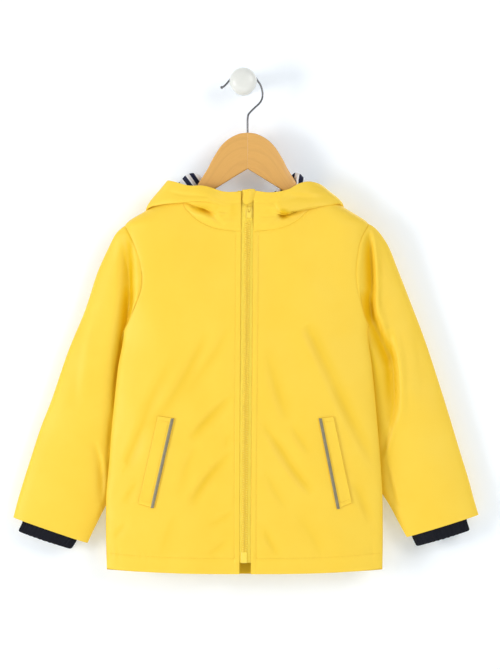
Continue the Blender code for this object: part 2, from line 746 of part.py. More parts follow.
def hood_surface(side):
    """The hood's grid of points: a row for each place round the neck, a column along its section."""
    sign = SIDES[side]
    sheet = hood_sections(side)
    count = len(sheet["seam"])
    turning = HOOD[side]["seam"].size    # the section on the shoulder seam
    points = np.array([section_points(sheet, k, k > turning) for k in range(count)])
    rows = []
    for place in np.linspace(0, count - 1, (count - 1) * HOOD_SAMPLES + 1):
        face = "back" if place > turning else "front"
        neck = neckline(side, face)
        across = np.interp(place, np.arange(count), sheet["seam"])
        seam_z = np.interp(across, neck[:, 0], neck[:, 1])
        seam_y = body_y(face, sign * across, seam_z) if place != turning else body("middle", seam_z)
        lift = 3 * GAP
        seam = np.array((across - lift * across / neck[-1, 0], seam_y, seam_z + lift))
        near = smooth_rows(points, place)
        ridge = (seam + near[0]) / 2 - (0, np.interp(place, np.arange(count), sheet["ridge"]), 0)
        rows.append(stepped(np.array([seam, ridge, *near]), PROFILE_STEPS) * (sign, 1, 1))
    return np.array(rows)


def hoods():
    """Two hood halves, and the lining inside them where it shows at the neck."""
    for side, sign in SIDES.items():
        outer = hood_surface(side)
        outward = -normals_of(outer) * sign
        outward[-1, :, 0] = 0    # the centre seam stays in the middle plane
        wall(f"hood_{side}", outer, outer - outward * CLOTH, "yellow_shell")
        part = (slice(LINING_FIRST * HOOD_SAMPLES, None), slice(LINING_STEPS[0], LINING_STEPS[1] + 1))
        near = outer[part] - outward[part] * (CLOTH + 2 * GAP)
        wall(f"hood_lining_{side}", near, near - outward[part] * LINING, "striped_jersey")


def pockets():
    for side, sign in SIDES.items():
        strip, mouth = WELT[side]["strip"], WELT[side]["mouth"]
        corners = ((strip[0], mouth[0]), (strip[1], mouth[1]))
        patch(f"pocket_welt_{side}", corners, GAP, CLOTH, "yellow_shell")
        shift = np.array((sign * STRIP_WIDTH, 0.0))
        corners = ((strip[0], strip[0] + shift), (strip[1], strip[1] + shift))
        lift = 2 * GAP + CLOTH
        patch(f"reflective_strip_{side}", corners, lift, STRIP_CLOTH, "reflective_grey", steps=(8, 1))


# ---------------------------------------------------------------- the zip


def tape_front_y(x, z):
    """The front face of the zip tapes, just behind the fronts' and the hood's cloth."""
    neck_z = FRONT_NECK["z"][0]
    if z < neck_z:
        return body_y("front", x, z, CLOTH) + TAPE_BEHIND
    neck_y = body_y("front", x, neck_z, CLOTH) + TAPE_BEHIND
    return neck_y + (z - neck_z) * (TAPE_TOP_Y - neck_y) / (TAPE_TOP_Z - neck_z)


def zip_tapes():
    for side, sign in SIDES.items():
        outer, inner = [], []
        for z in np.linspace(TAPE_TOP_Z, TAPE_END_Z, 19):
            middle = np.interp(z, ZIP_LINE["z"], ZIP_LINE["middle"])
            near, far = middle + sign * GAP, middle + sign * TAPE_WIDTH
            line = [(x, tape_front_y(x, z), z) for x in (near, (near + far) / 2, far)]
            outer.append(line)
            inner.append([(x, y + TAPE, z) for x, y, z in line])
        wall(f"zip_tape_{side}", np.array(outer), np.array(inner), "yellow_tape")


def block(low, high):
    """The points and faces of a block between two corners."""
    corners = [(x, y, z) for x in (low[0], high[0]) for y in (low[1], high[1])
               for z in (low[2], high[2])]
    faces = [(0, 1, 3, 2), (4, 6, 7, 5), (0, 4, 5, 1), (2, 3, 7, 6), (0, 2, 6, 4), (1, 5, 7, 3)]
    return corners, faces


def prism(outline, low_x, high_x):
    """A (y, z) outline carried along X."""
    ring = [(low_x, y, z) for y, z in outline] + [(high_x, y, z) for y, z in outline]
    n = len(outline)
    faces = [(k, (k + 1) % n, n + (k + 1) % n, n + k) for k in range(n)]
    return ring, faces + [tuple(range(n)), tuple(range(n, 2 * n))]


def bevelled(obj, width, segments=2):
    work = obj.modifiers.new("edges", "BEVEL")
    work.width = width * MM
    work.segments = segments
    work.limit_method = "ANGLE"
    work.angle_limit = math.radians(40)


def joined(obj, other):
    """Joins another solid into this one, and hides it as a helper."""
    other.hide_render = True
    other.display_type = "WIRE"
    work = obj.modifiers.new("join", "BOOLEAN")
    work.operation = "UNION"
    work.object = other


def slider_face_y():
    return tape_front_y(SLIDER_X, SLIDER_Z) - CHAIN_PROUD - SLIDER_SIZE[1]


def zip_slider():
    """The slider's body, with a bridge that the pull's cross bar sits under."""
    half = SLIDER_SIZE[0] / 2
    face_y = slider_face_y()
    top, foot = SLIDER_Z + SLIDER_SIZE[2] / 2, SLIDER_Z - SLIDER_SIZE[2] / 2
    outline = [
        (-half * 0.8, top), (half * 0.8, top), (half, top - 3), (half, SLIDER_Z),
        (half * 0.72, foot), (-half * 0.72, foot), (-half, SLIDER_Z), (-half, top - 3),
    ]
    points = [(SLIDER_X + x, y, z) for y in (face_y, face_y + SLIDER_SIZE[1]) for x, z in outline]
    n = len(outline)
    faces = [(k, (k + 1) % n, n + (k + 1) % n, n + k) for k in range(n)]
    faces += [tuple(range(n)), tuple(range(n, 2 * n))]
    slider = node("zip_slider", to_metres(points), faces, "yellow_plastic")
    bevelled(slider, 0.5)

    reach, out = BRIDGE_OPEN[0] / 2, BRIDGE_OPEN[1]
    sink = 0.8
    bridge = [
        (sink, reach + BRIDGE_WALL), (-out + 0.6, reach + BRIDGE_WALL), (-out - BRIDGE_WALL, reach - 0.4),
        (-out - BRIDGE_WALL, -reach + 0.4), (-out + 0.6, -reach - BRIDGE_WALL), (sink, -reach - BRIDGE_WALL),
        (sink, -reach), (-out, -reach), (-out, reach), (sink, reach),
    ]
    outline = [(face_y + y, PIVOT_Z + z) for y, z in bridge]
    points, faces = prism(outline, SLIDER_X - BRIDGE_WIDE / 2, SLIDER_X + BRIDGE_WIDE / 2)
    joined(slider, node("bridge_helper", to_metres(points), faces, "yellow_plastic"))


def zip_pull():
    """The pull: a tab with a window, which hangs on the bar above the window."""
    pivot = np.array((SLIDER_X, slider_face_y() - BRIDGE_OPEN[1] / 2, PIVOT_Z))
    half, bar = PULL_WIDE / 2, PULL_BAR / 2
    window, foot = PULL_WINDOW[0] / 2, -bar - PULL_WINDOW[1]
    end = bar - PULL_LONG
    outline = [
        (-half, bar), (half, bar), (half, foot - 1.5), (half * 0.8, end + 1.0), (half * 0.45, end),
        (-half * 0.45, end), (-half * 0.8, end + 1.0), (-half, foot - 1.5),
    ]
    hole = [
        (-window, -bar), (window, -bar), (window, foot + 0.6), (window * 0.7, foot + 0.2),
        (window * 0.35, foot), (-window * 0.35, foot), (-window * 0.7, foot + 0.2),
        (-window, foot + 0.6),
    ]
    n = len(outline)
    points = [
        (pivot[0] + x, pivot[1] + y, pivot[2] + z)
        for y in (-PULL_THICK / 2, PULL_THICK / 2) for x, z in outline + hole
    ]
    faces = []
    for k in range(n):
        m = (k + 1) % n
        for base in (0, 2 * n):
            faces.append((base + k, base + m, base + n + m, base + n + k))
        faces.append((k, m, 2 * n + m, 2 * n + k))
        faces.append((n + k, n + m, 3 * n + m, 3 * n + k))
    pull = node("zip_pull", to_metres(points), faces, "yellow_plastic")
    # Its origin lies on the axis that it swings about.
    centre = to_metres(pivot)
    pull.data.transform(Matrix.Translation(-centre))
    pull.location = centre


def zip_box():
    """The retainer box at the foot of the zip."""
    middle = np.interp(BOX_Z, ZIP_LINE["z"], ZIP_LINE["middle"]) - 0.9
    face_y = tape_front_y(middle, BOX_Z)
    wide, deep, tall = BOX_SIZE
    low = (middle - wide / 2, face_y - GAP - deep, BOX_Z - tall / 2)
    high = (middle + wide / 2, face_y - GAP, BOX_Z + tall / 2)
    points, faces = block(low, high)
    bevelled(node("zip_box", to_metres(points), faces, "yellow_plastic"), 0.7)


def zip_guard():
    """The turned flap over the top of the zip."""
    outer, inner = [], []
    for z in np.linspace(GUARD["top"], GUARD["bottom"], 5):
        share = (GUARD["top"] - z) / (GUARD["top"] - GUARD["bottom"])
        left = GUARD["left"] + 3.4 * share**2
        right = GUARD["right"] - 2.2 * share
        line = [
            (left + (right - left) * k / 4, GUARD["y"] + 0.6 * (k / 2 - 1) ** 2, z) for k in range(5)
        ]
        outer.append(line)
        inner.append([(x, y + 1.2, z) for x, y, z in line])
    wall("zip_guard", np.array(outer), np.array(inner), "yellow_shell")


# ---------------------------------------------------------------- the hanger, the hook and the knob


def hanger():
    """Two wooden halves, cut from flat wood and rounded at their edges."""
    for side, sign in SIDES.items():
        rows = []
        count = 20
        shares = np.linspace(0, 1, count)
        top = along(np.stack([HANGER_TOP["across"], HANGER_TOP["z"]], axis=1), shares)
        foot = along(np.stack([HANGER_BOTTOM["across"], HANGER_BOTTOM["z"]], axis=1), shares)
        for (x0, z0), (x1, z1) in zip(top, foot):
            half = np.interp(x0, HANGER_TOP["across"], HANGER_TOP["thick"]) / 2
            r = HANGER_ROUNDING
            tall = math.hypot(x1 - x0, z1 - z0)
            # round the section: share of the way down, and how far out
            section = (
                (0.0, -half + r), (r * 0.3, -half + 0.3 * r), (r, -half), (tall - r, -half),
                (tall - r * 0.3, -half + 0.3 * r), (tall, -half + r), (tall, half - r),
                (tall - r * 0.3, half - 0.3 * r), (tall - r, half), (r, half),
                (r * 0.3, half - 0.3 * r), (0.0, half - r),
            )
            rows.append([
                (sign * (x0 + (x1 - x0) * d / tall), HANGER_MIDDLE_Y + y, z0 + (z1 - z0) * d / tall)
                for d, y in section
            ])
        grid = np.array(rows)
        n = grid.shape[1]
        points = to_metres(grid.reshape(-1, 3))
        faces = [
            (i * n + k, i * n + (k + 1) % n, (i + 1) * n + (k + 1) % n, (i + 1) * n + k)
            for i in range(count - 1) for k in range(n)
        ]
        faces += [tuple(range(n)), tuple(range((count - 1) * n, count * n))]
        node(f"hanger_{side}", points, faces, "honey_wood")


def hanger_hook():
    """The steel wire of the hook."""
    line = through([(x, HANGER_MIDDLE_Y, z) for x, z in HOOK_PATH], HOOK_STEPS)
    curve = bpy.data.curves.new("hanger_hook", "CURVE")
    curve.dimensions = "3D"
    run = curve.splines.new("POLY")
    run.points.add(len(line) - 1)
    for point, place in zip(run.points, line):
        point.co = (*(place * MM), 1)
    curve.bevel_depth = HOOK_WIRE / 2 * MM
    curve.bevel_resolution = 2
    curve.use_fill_caps = True
    curve.materials.append(material("steel"))
    bpy.context.scene.collection.objects.link(bpy.data.objects.new("hanger_hook", curve))


def wall_knob():
    """The round knob, turned about the line that stands out of the wall."""
    points = [(0.0, 0.0, 0.0)]
    for out, radius in zip(KNOB["out"], KNOB["radius"]):
        for k in range(KNOB_SEGMENTS):
            turn = 2 * math.pi * k / KNOB_SEGMENTS
            points.append((radius * math.cos(turn), -out, radius * math.sin(turn)))
    points.append((0.0, -KNOB["out"][-1], 0.0))
    n, last = KNOB_SEGMENTS, len(points) - 1
    faces = []
    for k in range(n):
        m = (k + 1) % n
        faces.append((0, 1 + m, 1 + k))
        faces.append((last, last - n + k, last - n + m))
        for ring in range(len(KNOB["out"]) - 1):
            a = 1 + ring * n
            faces.append((a + k, a + m, a + n + m, a + n + k))
    node("wall_knob", np.array(points) * MM, faces, "white_knob")


def main():
    for old in list(bpy.data.objects):
        bpy.data.objects.remove(old, do_unlink=True)
    body_panels()
    sleeves()
    cuffs()
    hoods()
    pockets()
    zip_tapes()
    zip_slider()
    zip_pull()
    zip_box()
    zip_guard()
    hanger()
    hanger_hook()
    wall_knob()


main()
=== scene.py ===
# %% [markdown]
# # A kids' raincoat on its hanger
# The solids of this coat are packed already: plain walls of the right shape and size. This lesson
# dresses them. Each sewn piece is made again as a thin, fine shell on its solid's form, with soft
# creases, seams, stitches and a cloth material; wood, steel and china get their own finishes.
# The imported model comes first, because everything else is set in its frame, in metres.

# %% Load the frame
import math

import bpy
import numpy as np
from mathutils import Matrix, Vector


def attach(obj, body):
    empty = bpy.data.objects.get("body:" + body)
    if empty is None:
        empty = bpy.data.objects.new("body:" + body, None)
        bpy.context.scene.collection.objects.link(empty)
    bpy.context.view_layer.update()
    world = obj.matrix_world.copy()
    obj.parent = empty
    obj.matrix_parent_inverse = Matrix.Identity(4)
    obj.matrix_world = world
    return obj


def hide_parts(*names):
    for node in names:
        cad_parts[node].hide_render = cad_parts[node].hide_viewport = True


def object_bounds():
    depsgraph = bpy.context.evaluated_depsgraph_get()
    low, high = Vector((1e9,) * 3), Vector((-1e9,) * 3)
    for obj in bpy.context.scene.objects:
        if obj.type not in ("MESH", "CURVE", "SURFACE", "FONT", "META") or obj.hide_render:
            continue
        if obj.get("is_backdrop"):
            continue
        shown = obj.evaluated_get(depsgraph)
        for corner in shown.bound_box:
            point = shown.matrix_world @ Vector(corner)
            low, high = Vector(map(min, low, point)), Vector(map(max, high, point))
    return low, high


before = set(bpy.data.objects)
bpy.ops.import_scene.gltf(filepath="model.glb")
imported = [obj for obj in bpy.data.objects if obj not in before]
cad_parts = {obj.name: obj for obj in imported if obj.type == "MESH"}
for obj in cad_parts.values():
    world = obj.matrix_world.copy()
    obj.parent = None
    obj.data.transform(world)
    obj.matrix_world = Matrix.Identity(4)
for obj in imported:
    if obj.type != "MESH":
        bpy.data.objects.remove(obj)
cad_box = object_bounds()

print(len(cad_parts), "nodes; the model's box is", cad_box)

# %% [markdown]
# ## Tables and smooth lines
# A pattern cutter works from sizes at a few heights. The same sizes are here, in millimetres from
# the coat's middle line (across), the wall (y) and the knob's centre (z). A smooth line through the
# few sizes gives as many points as a fine mesh needs, which no hand-made list could.

# %% Sizes and smooth lines
MM = 0.001
MIDDLE_X = 5.7         # the coat's middle line hangs this far beside the knob's centre
SIDES = {"left": -1, "right": 1}
SHELL = 0.9            # coated cloth
GAP = 0.3              # between pieces at a seam


def table(columns, rows):
    """A table as a dictionary: a column's name to the array of its values."""
    values = [[float(word) for word in row.split()] for row in rows.strip().splitlines()]
    return dict(zip(columns.split(), np.array(values).T))


def unit(values):
    """Values kept between 0 and 1."""
    return np.clip(values, 0, 1)


def hill(distance, wide):
    """One where a distance is zero, falling softly to nothing on both sides."""
    return np.exp(-((distance / wide) ** 2))


def step_down(distance, at, wide=1.0):
    """One before a distance, zero after it, with a soft step between."""
    return 0.5 - 0.5 * np.tanh((distance - at) / wide)


def smooth(keys, values, at, within=False):
    """A smooth line through values at keys. values may hold whole points; within adds no
    overshoot."""
    order = np.argsort(keys)
    keys, values = np.asarray(keys, float)[order], np.asarray(values, float)[order]
    shape = (-1,) + (1,) * (values.ndim - 1)
    slopes = np.gradient(values, keys, axis=0)
    if within:
        steps = np.diff(values, axis=0) / np.diff(keys).reshape(shape)
        before, after = steps[:-1], steps[1:]
        most = np.where(before * after > 0, 2 * np.minimum(abs(before), abs(after)), 0.0)
        slopes[1:-1] = np.clip(slopes[1:-1], -most, most)
    at = np.clip(np.asarray(at, float), keys[0], keys[-1])
    low = np.clip(np.searchsorted(keys, at, side="right") - 1, 0, len(keys) - 2)
    span = (keys[low + 1] - keys[low]).reshape(at.shape + (1,) * (values.ndim - 1))
    t = (at - keys[low]).reshape(span.shape) / span
    return (
        (2 * t**3 - 3 * t**2 + 1) * values[low] + (t**3 - 2 * t**2 + t) * span * slopes[low]
        + (3 * t**2 - 2 * t**3) * values[low + 1] + (t**3 - t**2) * span * slopes[low + 1]
    )


def arc(points):
    """How far along a line each of its points lies."""
    steps = np.linalg.norm(np.diff(points, axis=0), axis=1)
    return np.concatenate([[0], np.cumsum(steps)])


def along(points, shares):
    """Places on a line at shares of its length."""
    points = np.array(points, float)
    run = arc(points)
    at = np.asarray(shares, float) * run[-1]
    return np.stack([np.interp(at, run, column) for column in points.T], axis=-1)


def through(points, steps):
    """A smooth line through points, with that many steps between two of them."""
    points = np.array(points, float)
    at = np.linspace(0, len(points) - 1, (len(points) - 1) * steps + 1)
    return smooth(np.arange(len(points)), points, at)


BODY = table("z left right middle front back round", """
    -639    182.9  175.2  -46    17    12    165
    -588    184.2  175.8  -46    19    14    165
    -549    184.2  175.6  -45.5  20    14.5  162
    -497    180.3  173    -45.5  21    15    160
    -452    176.9  169.4  -45    21.5  15    158
    -414    173.2  166.1  -44.5  22    15    152
    -372    168.6  162    -44    22    14.5  146
    -325    161.3  156.5  -43    22    14    135
    -280    163.2  158.6  -42    21.5  13.5  110
    -230    164    160.2  -41    20    13    80
    -187.2  159.4  157.9  -40.3  17.5  12    50
    -168.4  133.4  133.8  -40    15.5  11.5  38
    -154    107.4  107.8  -40    13.5  11    30
    -144.2  86.5   86.5   -40    12    10.5  24
    -138    80     80     -40    12    10.5  24""")
SHOULDER_TIP_Z = {"left": -187.2, "right": -184.6}
UNDERARM_Z = {"left": -325.0, "right": -316.0}
HEM_Z, HEM_SIDE_Z = -639.0, -632.5
HEM_RISE = {"front": 0.0, "back": -1.5}
NECK_PART = 0.6088      # share of a panel's width that lies along the neckline
ARMHOLE_PART = 0.31     # share of a panel's height beside the armhole
ARMHOLE = table("down left right", """
    0     0     0
    0.14  13    11.5
    0.35  24.5  18.5
    0.48  27    19.5
    0.64  24    16.6
    0.8   14    10.5
    0.92  6     5
    1     0     0""")
FRONT_NECK = table("across z", """
    0     -195.5
    31    -193.2
    44    -190.6
    57    -185.4
    67.5  -178.5
    76    -170
    83    -160
    86.5  -144.2""")
BACK_NECK = table("across z", """
    0     -157
    30    -156
    60    -152.5
    86.5  -144.2""")
NECK_SIDE_Z = FRONT_NECK["z"][-1]
ZIP_LINE = table("z left middle right", """
    -639  -10.9  -3.6  4.4
    -560  -10.9  -3.6  4.7
    -450  -10.4  -2.7  5.6
    -330  -9.6   -1.5  6.6
    -195  -8.9   -0.2  7.7
    -143  -8.6   0     7.8""")


def body(column, z):
    """A value of the body's table at a height."""
    return smooth(BODY["z"], BODY[column], z, within=True)


def zip_x(column, z):
    return np.interp(z, ZIP_LINE["z"], ZIP_LINE[column])


print("the coat is", NECK_SIDE_Z - HEM_Z, "mm from neck to hem")

# %% [markdown]
# ## Creases
# Coated cloth doesn't hang flat: it bends in soft diagonal folds from the zip and the armholes. A
# simulation would find folds of its own, so these are given one by one instead. Each is a
# curved line with a width and a depth. The cloth is pressed in along the line and stands up in a
# low ridge beside it, as a real fold does, and both fade out at the line's ends. Broad, weak waves
# between them keep the rest from looking flat.

# %% Creases laid one by one
CREASE = "x0 z0 xm zm x1 z1 wide deep"
# across and z of a line's start, middle and end; a negative width puts the ridge on its other side
FRONT_CREASES = table(CREASE, """
    -53   -323  -81   -385  -127  -453  -9  1.9
    -25   -317  -44   -356  -84   -414  -8  1.3
    -16   -405  -53   -440  -75   -466  -7  2.6
    -19   -479  -54   -518  -73   -551  -7  2.8
    -24   -454  -27   -466  -31   -478  -4  0.9
    -18   -556  -33   -567  -52   -575  -5  1.2
    -23   -592  -37   -604  -52   -614  -5  1.1
    -116  -397  -147  -475  -158  -497  -9  1.9
    -141  -522  -152  -535  -160  -549  -6  1.2
    -157  -575  -166  -584  -174  -593  -5  0.9
    -96   -350  -118  -400  -146  -440  -9  1
    -62   -470  -78   -500  -88   -540  -8  1
    -90   -560  -104  -590  -112  -622  -9  0.9
    75    -317  92    -352  140   -453  -9  2.1
    23    -345  39    -405  53    -440  -9  1.7
    30    -463  61    -508  84    -536  -7  2.6
    16    -440  36    -469  55    -492  -6  1.5
    55    -444  68    -466  81    -483  -6  1.4
    14    -571  28    -597  39    -616  -6  1.7
    110   -392  137   -447  167   -505  -9  1.8
    137   -519  149   -547  159   -576  -7  1.6
    60    -560  84    -590  96    -620  -9  0.9
    20    -500  34    -530  52    -556  -7  1.1""")
BACK_CREASES = table(CREASE, """
    -24   -380  -60   -430  -88   -492  9    2.2
    30    -362  52    -410  82    -462  -9   2
    -50   -500  -80   -540  -104  -600  9    2
    44    -492  78    -540  110   -592  -9   2.1
    -118  -380  -140  -440  -162  -500  10   1.8
    112   -372  138   -440  158   -510  -10  1.7
    -10   -230  -40   -262  -84   -300  12   1.5
    14    -250  46    -290  92    -322  -12  1.4
    -4    -560  -18   -590  -44   -618  7    1.3""")


STEEP = 0.65            # a fold's side towards its ridge is narrower than its other side
RIDGE, RIDGE_AT, RIDGE_WIDE = 0.28, 1.7, 1.1      # its height, place and width, in fold widths
REACH = 3.5             # nothing is pressed further off than this many widths


def pressed(folds, x, z, steep=STEEP):
    """How far the folds press the cloth in at places: troughs above zero, ridges below."""
    total = np.zeros(np.broadcast(x, z).shape)
    share = np.linspace(0, 1, 15)
    for x0, z0, xm, zm, x1, z1, wide, deep in zip(*folds.values()):
        a, m, b = np.array(((x0, z0), (xm, zm), (x1, z1)))
        bend = 2 * m - (a + b) / 2        # the middle lies on the curve
        line = ((1 - share) ** 2 * a[:, None] + 2 * share * (1 - share) * bend[:, None]
                + share**2 * b[:, None]).T
        run = b - a
        reach = REACH * abs(wide)
        near = ((x > line[:, 0].min() - reach) & (x < line[:, 0].max() + reach)
                & (z > line[:, 1].min() - reach) & (z < line[:, 1].max() + reach))
        px, pz = x[near], z[near]
        best = np.full(px.shape, 1e9)
        side, place = np.zeros(px.shape), np.zeros(px.shape)
        for k in range(len(line) - 1):
            step = line[k + 1] - line[k]
            t = (px - line[k, 0]) * step[0] + (pz - line[k, 1]) * step[1]
            t = unit(t / (step @ step))
            dx, dz = px - line[k, 0] - t * step[0], pz - line[k, 1] - t * step[1]
            away = np.hypot(dx, dz)
            closer = away < best
            best = np.where(closer, away, best)
            side = np.where(closer, np.sign(run[0] * dz - run[1] * dx), side)
            place = np.where(closer, (k + t) / (len(line) - 1), place)
        s = best * side / wide
        s = np.where(s > 0, s / steep, s)
        fade = np.sin(math.pi * place) ** 0.8
        total[near] += deep * fade * (hill(s, 1) - RIDGE * hill(s - RIDGE_AT, RIDGE_WIDE))
    return total


WAVES = ((150, 1.0), (95, 0.8), (60, 0.45), (38, 0.22), (24, 0.1))     # lengths and their shares


def waves(x, z, seed, height=0.5):
    """Broad, weak waves of the cloth: a few slow ones and some finer ones, uneven on purpose."""
    draw = np.random.default_rng(seed)
    total = 0.0
    for length, share in WAVES:
        turn, shift = draw.uniform(0.2, 1.2) * draw.choice((-1, 1)), draw.uniform(0, 6.28)
        total = total + share * np.sin(
            6.283 * (x * math.cos(turn) + 0.6 * z * math.sin(turn)) / length + shift
            + 0.8 * np.sin(z / 61 + shift) + 0.7 * np.cos(x / 47 - shift))
    return height * total


def body_y(face, x, z):
    """The body's y at (across, z) on its front or back, with nothing pressed in."""
    edge = np.where(x < 0, body("left", z), body("right", z))
    share = unit((edge - abs(x)) / body("round", z))
    stand = body(face, z) * (1 - (1 - share) ** 2) ** 0.55 + GAP / 2
    return body("middle", z) + stand * (-1 if face == "front" else 1)


def cloth_y(face, x, z):
    """The body's y with its creases and waves. They fade out towards the body's edges."""
    x, z = np.broadcast_arrays(np.asarray(x, float), np.asarray(z, float))
    edge = np.where(x < 0, body("left", z), body("right", z))
    calm = unit((edge - abs(x)) / 14) * np.clip((-z - 150) / 60, 0.15, 1)
    if face == "front":
        side = np.where(x < 0, zip_x("left", z) - x, x - zip_x("right", z))
        calm = calm * unit(side / 16) ** 0.7
        return body_y(face, x, z) + calm * (pressed(FRONT_CREASES, x, z) + waves(x, z, 4))
    return body_y(face, x, z) - calm * (pressed(BACK_CREASES, x, z) + waves(x, z, 9, 0.8))


print(len(FRONT_CREASES["x0"]), "creases on the fronts,", len(BACK_CREASES["x0"]), "on the back")

# %% [markdown]
# ## From a grid of points to a cloth shell
# Every sewn piece here is a grid: rows down the piece and columns across it. A Solidify modifier
# could give it its thickness, but rims made here can be rounded, so that a cut or turned edge
# catches light as cloth does. Each loop also gets UV coordinates in metres, measured along the
# cloth, so that stripes and knit lie on it at their real size.

# %% The shell helper
def to_metres(points):
    return (np.asarray(points, float) + (MIDDLE_X, 0, 0)) * MM


def normals_of(grid, closed=False):
    """Unit normals of a grid of points; closed joins the last column to the first."""
    if closed:
        across = np.roll(grid, -1, axis=1) - np.roll(grid, 1, axis=1)
    else:
        across = np.gradient(grid, axis=1)
    normal = np.cross(across, np.gradient(grid, axis=0))
    return normal / np.maximum(np.linalg.norm(normal, axis=2, keepdims=True), 1e-9)


EDGE_ROW = 0.7          # how far from a border the row lies that keeps its rounding narrow


def with_edge_rows(grid, closed):
    """Adds a row and a column close to each open border, which keep its rounding narrow."""
    for axis in (0,) if closed else (0, 1):
        grid = np.swapaxes(grid, 0, axis)
        size = np.linalg.norm(grid[1] - grid[0], axis=1, keepdims=True)
        far = np.linalg.norm(grid[-2] - grid[-1], axis=1, keepdims=True)
        first = grid[0] + (grid[1] - grid[0]) * np.clip(EDGE_ROW / np.maximum(size, 1e-6), 0, 0.5)
        last = grid[-1] + (grid[-2] - grid[-1]) * np.clip(EDGE_ROW / np.maximum(far, 1e-6), 0, 0.5)
        grid = np.concatenate([grid[:1], first[None], grid[1:-1], last[None], grid[-1:]])
        grid = np.swapaxes(grid, 0, axis)
    return grid


def new_object(name, points, faces, material, uv=None):
    """A mesh object, smooth all over, with an optional (u, v) for each of its points."""
    mesh = bpy.data.meshes.new(name)
    mesh.from_pydata(np.asarray(points).tolist(), [], faces)
    mesh.shade_smooth()
    if uv is not None:
        corner = np.empty(len(mesh.loops), int)
        mesh.loops.foreach_get("vertex_index", corner)
        mesh.uv_layers.new(name="cloth").data.foreach_set("uv", np.asarray(uv)[corner].ravel())
    mesh.materials.append(material)
    made = bpy.data.objects.new(name, mesh)
    bpy.context.scene.collection.objects.link(made)
    return made


def shell(name, grid, material, thick=SHELL, closed=False, side=1, rim=0.45, straight=None):
    """A cloth shell whose outer face is the grid. side turns its outward direction. straight =
    (across, z, start) lays the UV map flat over the front view instead, with its V that way."""
    grid = with_edge_rows(grid, closed)
    rows, columns = grid.shape[:2]
    outward = normals_of(grid, closed) * side
    inner = grid - outward * thick
    around = np.linalg.norm(np.diff(grid, axis=1), axis=2).cumsum(1)
    u = np.concatenate([np.zeros((rows, 1)), around], axis=1)
    down = np.linalg.norm(np.diff(grid, axis=0), axis=2).cumsum(0)
    v = np.concatenate([np.zeros((1, columns)), down], axis=0)
    uv = np.stack([u - u[:, -1:] / 2, -v], axis=2) * MM
    if straight is not None:
        a, b, start = straight
        x, z = grid[..., 0], grid[..., 2]
        uv = np.stack([b * x - a * z, a * x + b * z + start], axis=2) * MM

    def border(edge, inside, out):
        """The rim's middle line: half way between the faces, pushed out to round the rim."""
        away = out - inside
        away = away / np.maximum(np.linalg.norm(away, axis=1, keepdims=True), 1e-9)
        return (edge[0] + edge[1]) / 2 + away * thick * rim

    top = border((grid[0], inner[0]), grid[1], grid[0])
    foot = border((grid[-1], inner[-1]), grid[-2], grid[-1])
    points = [grid.reshape(-1, 3), inner.reshape(-1, 3), top, foot]
    count = rows * columns
    uvs = [uv.reshape(-1, 2)] * 2 + [uv[0], uv[-1]]
    ids = np.arange(count).reshape(rows, columns)
    if closed:
        ids = np.concatenate([ids, ids[:, :1]], axis=1)
    ends = np.arange(columns) if not closed else np.append(np.arange(columns), 0)
    ends = ends + 2 * count

    def strip(a, b):
        """Faces between two lines of point numbers."""
        return np.stack([a[:-1], a[1:], b[1:], b[:-1]], axis=1)

    faces = [strip(ids[i], ids[i + 1]) for i in range(rows - 1)]
    faces += [strip(ids[i + 1] + count, ids[i] + count) for i in range(rows - 1)]
    faces += [strip(ends, ids[0]), strip(ids[0] + count, ends)]
    faces += [strip(ids[-1], ends + columns), strip(ends + columns, ids[-1] + count)]
    corners = []
    if not closed:
        start = border((grid[:, 0], inner[:, 0]), grid[:, 1], grid[:, 0])
        end = border((grid[:, -1], inner[:, -1]), grid[:, -2], grid[:, -1])
        base = 2 * count + 2 * columns
        points += [start, end]
        uvs += [uv[:, 0], uv[:, -1]]
        low, high = np.arange(rows) + base, np.arange(rows) + base + rows
        faces += [strip(ids[:, 0], low), strip(low, ids[:, 0] + count)]
        faces += [strip(high, ids[:, -1]), strip(ids[:, -1] + count, high)]
        corners += [
            (ids[0, 0], low[0], ends[0]), (low[0], ids[0, 0] + count, ends[0]),
            (ids[0, -1], ends[-1], high[0]), (high[0], ends[-1], ids[0, -1] + count),
            (ids[-1, 0], ends[0] + columns, low[-1]),
            (low[-1], ends[0] + columns, ids[-1, 0] + count),
            (ids[-1, -1], high[-1], ends[-1] + columns),
            (high[-1], ids[-1, -1] + count, ends[-1] + columns),
        ]
    faces = [tuple(map(int, f)) for f in [*np.concatenate(faces), *corners]]
    if side < 0:
        faces = [f[::-1] for f in faces]
    made = new_object(name, to_metres(np.concatenate(points)), faces, material, np.concatenate(uvs))
    print(f"{name}: {rows} x {columns} points")
    return made


def paint_fold_shade(piece, painted_shade_share):
    """Keeps a painted shade for each point, 0 to 1: how deep in a fold or in shade it lies, for the
    faces that look forwards.
    """
    mesh, count = piece.data, len(piece.data.vertices)
    spots, facing = np.empty(3 * count), np.empty(3 * count)
    mesh.vertices.foreach_get("co", spots)
    mesh.vertices.foreach_get("normal", facing)
    x, z = spots[0::3] / MM - MIDDLE_X, spots[2::3] / MM
    share = unit(painted_shade_share(x, z)) * unit(-3 * facing[1::3])
    # the fold attribute holds painted shade: a material paints the piece darker where it is high
    painted_shade_mark = mesh.attributes.new("fold", "FLOAT", "POINT")
    painted_shade_mark.data.foreach_set("value", share.astype(np.float32))
    return piece


def dress(piece, slot, *nodes, body="coat"):
    """Lets a piece ride on the coat and puts it in place of its nodes; slot is not used."""
    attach(piece, body)
    if nodes:
        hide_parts(*nodes)
    return piece

# %% [markdown]
# ## Finishes from node groups
# Coated cloth, moulded plastic and varnished wood all share two things: their colour drifts a
# little from place to place, and their face isn't quite smooth. Both are node groups, built once
# and placed in each material with its own values. A knit and a weave are groups too, drawn from
# the UV coordinates in metres. A picture texture would be quicker, but it blurs close up.

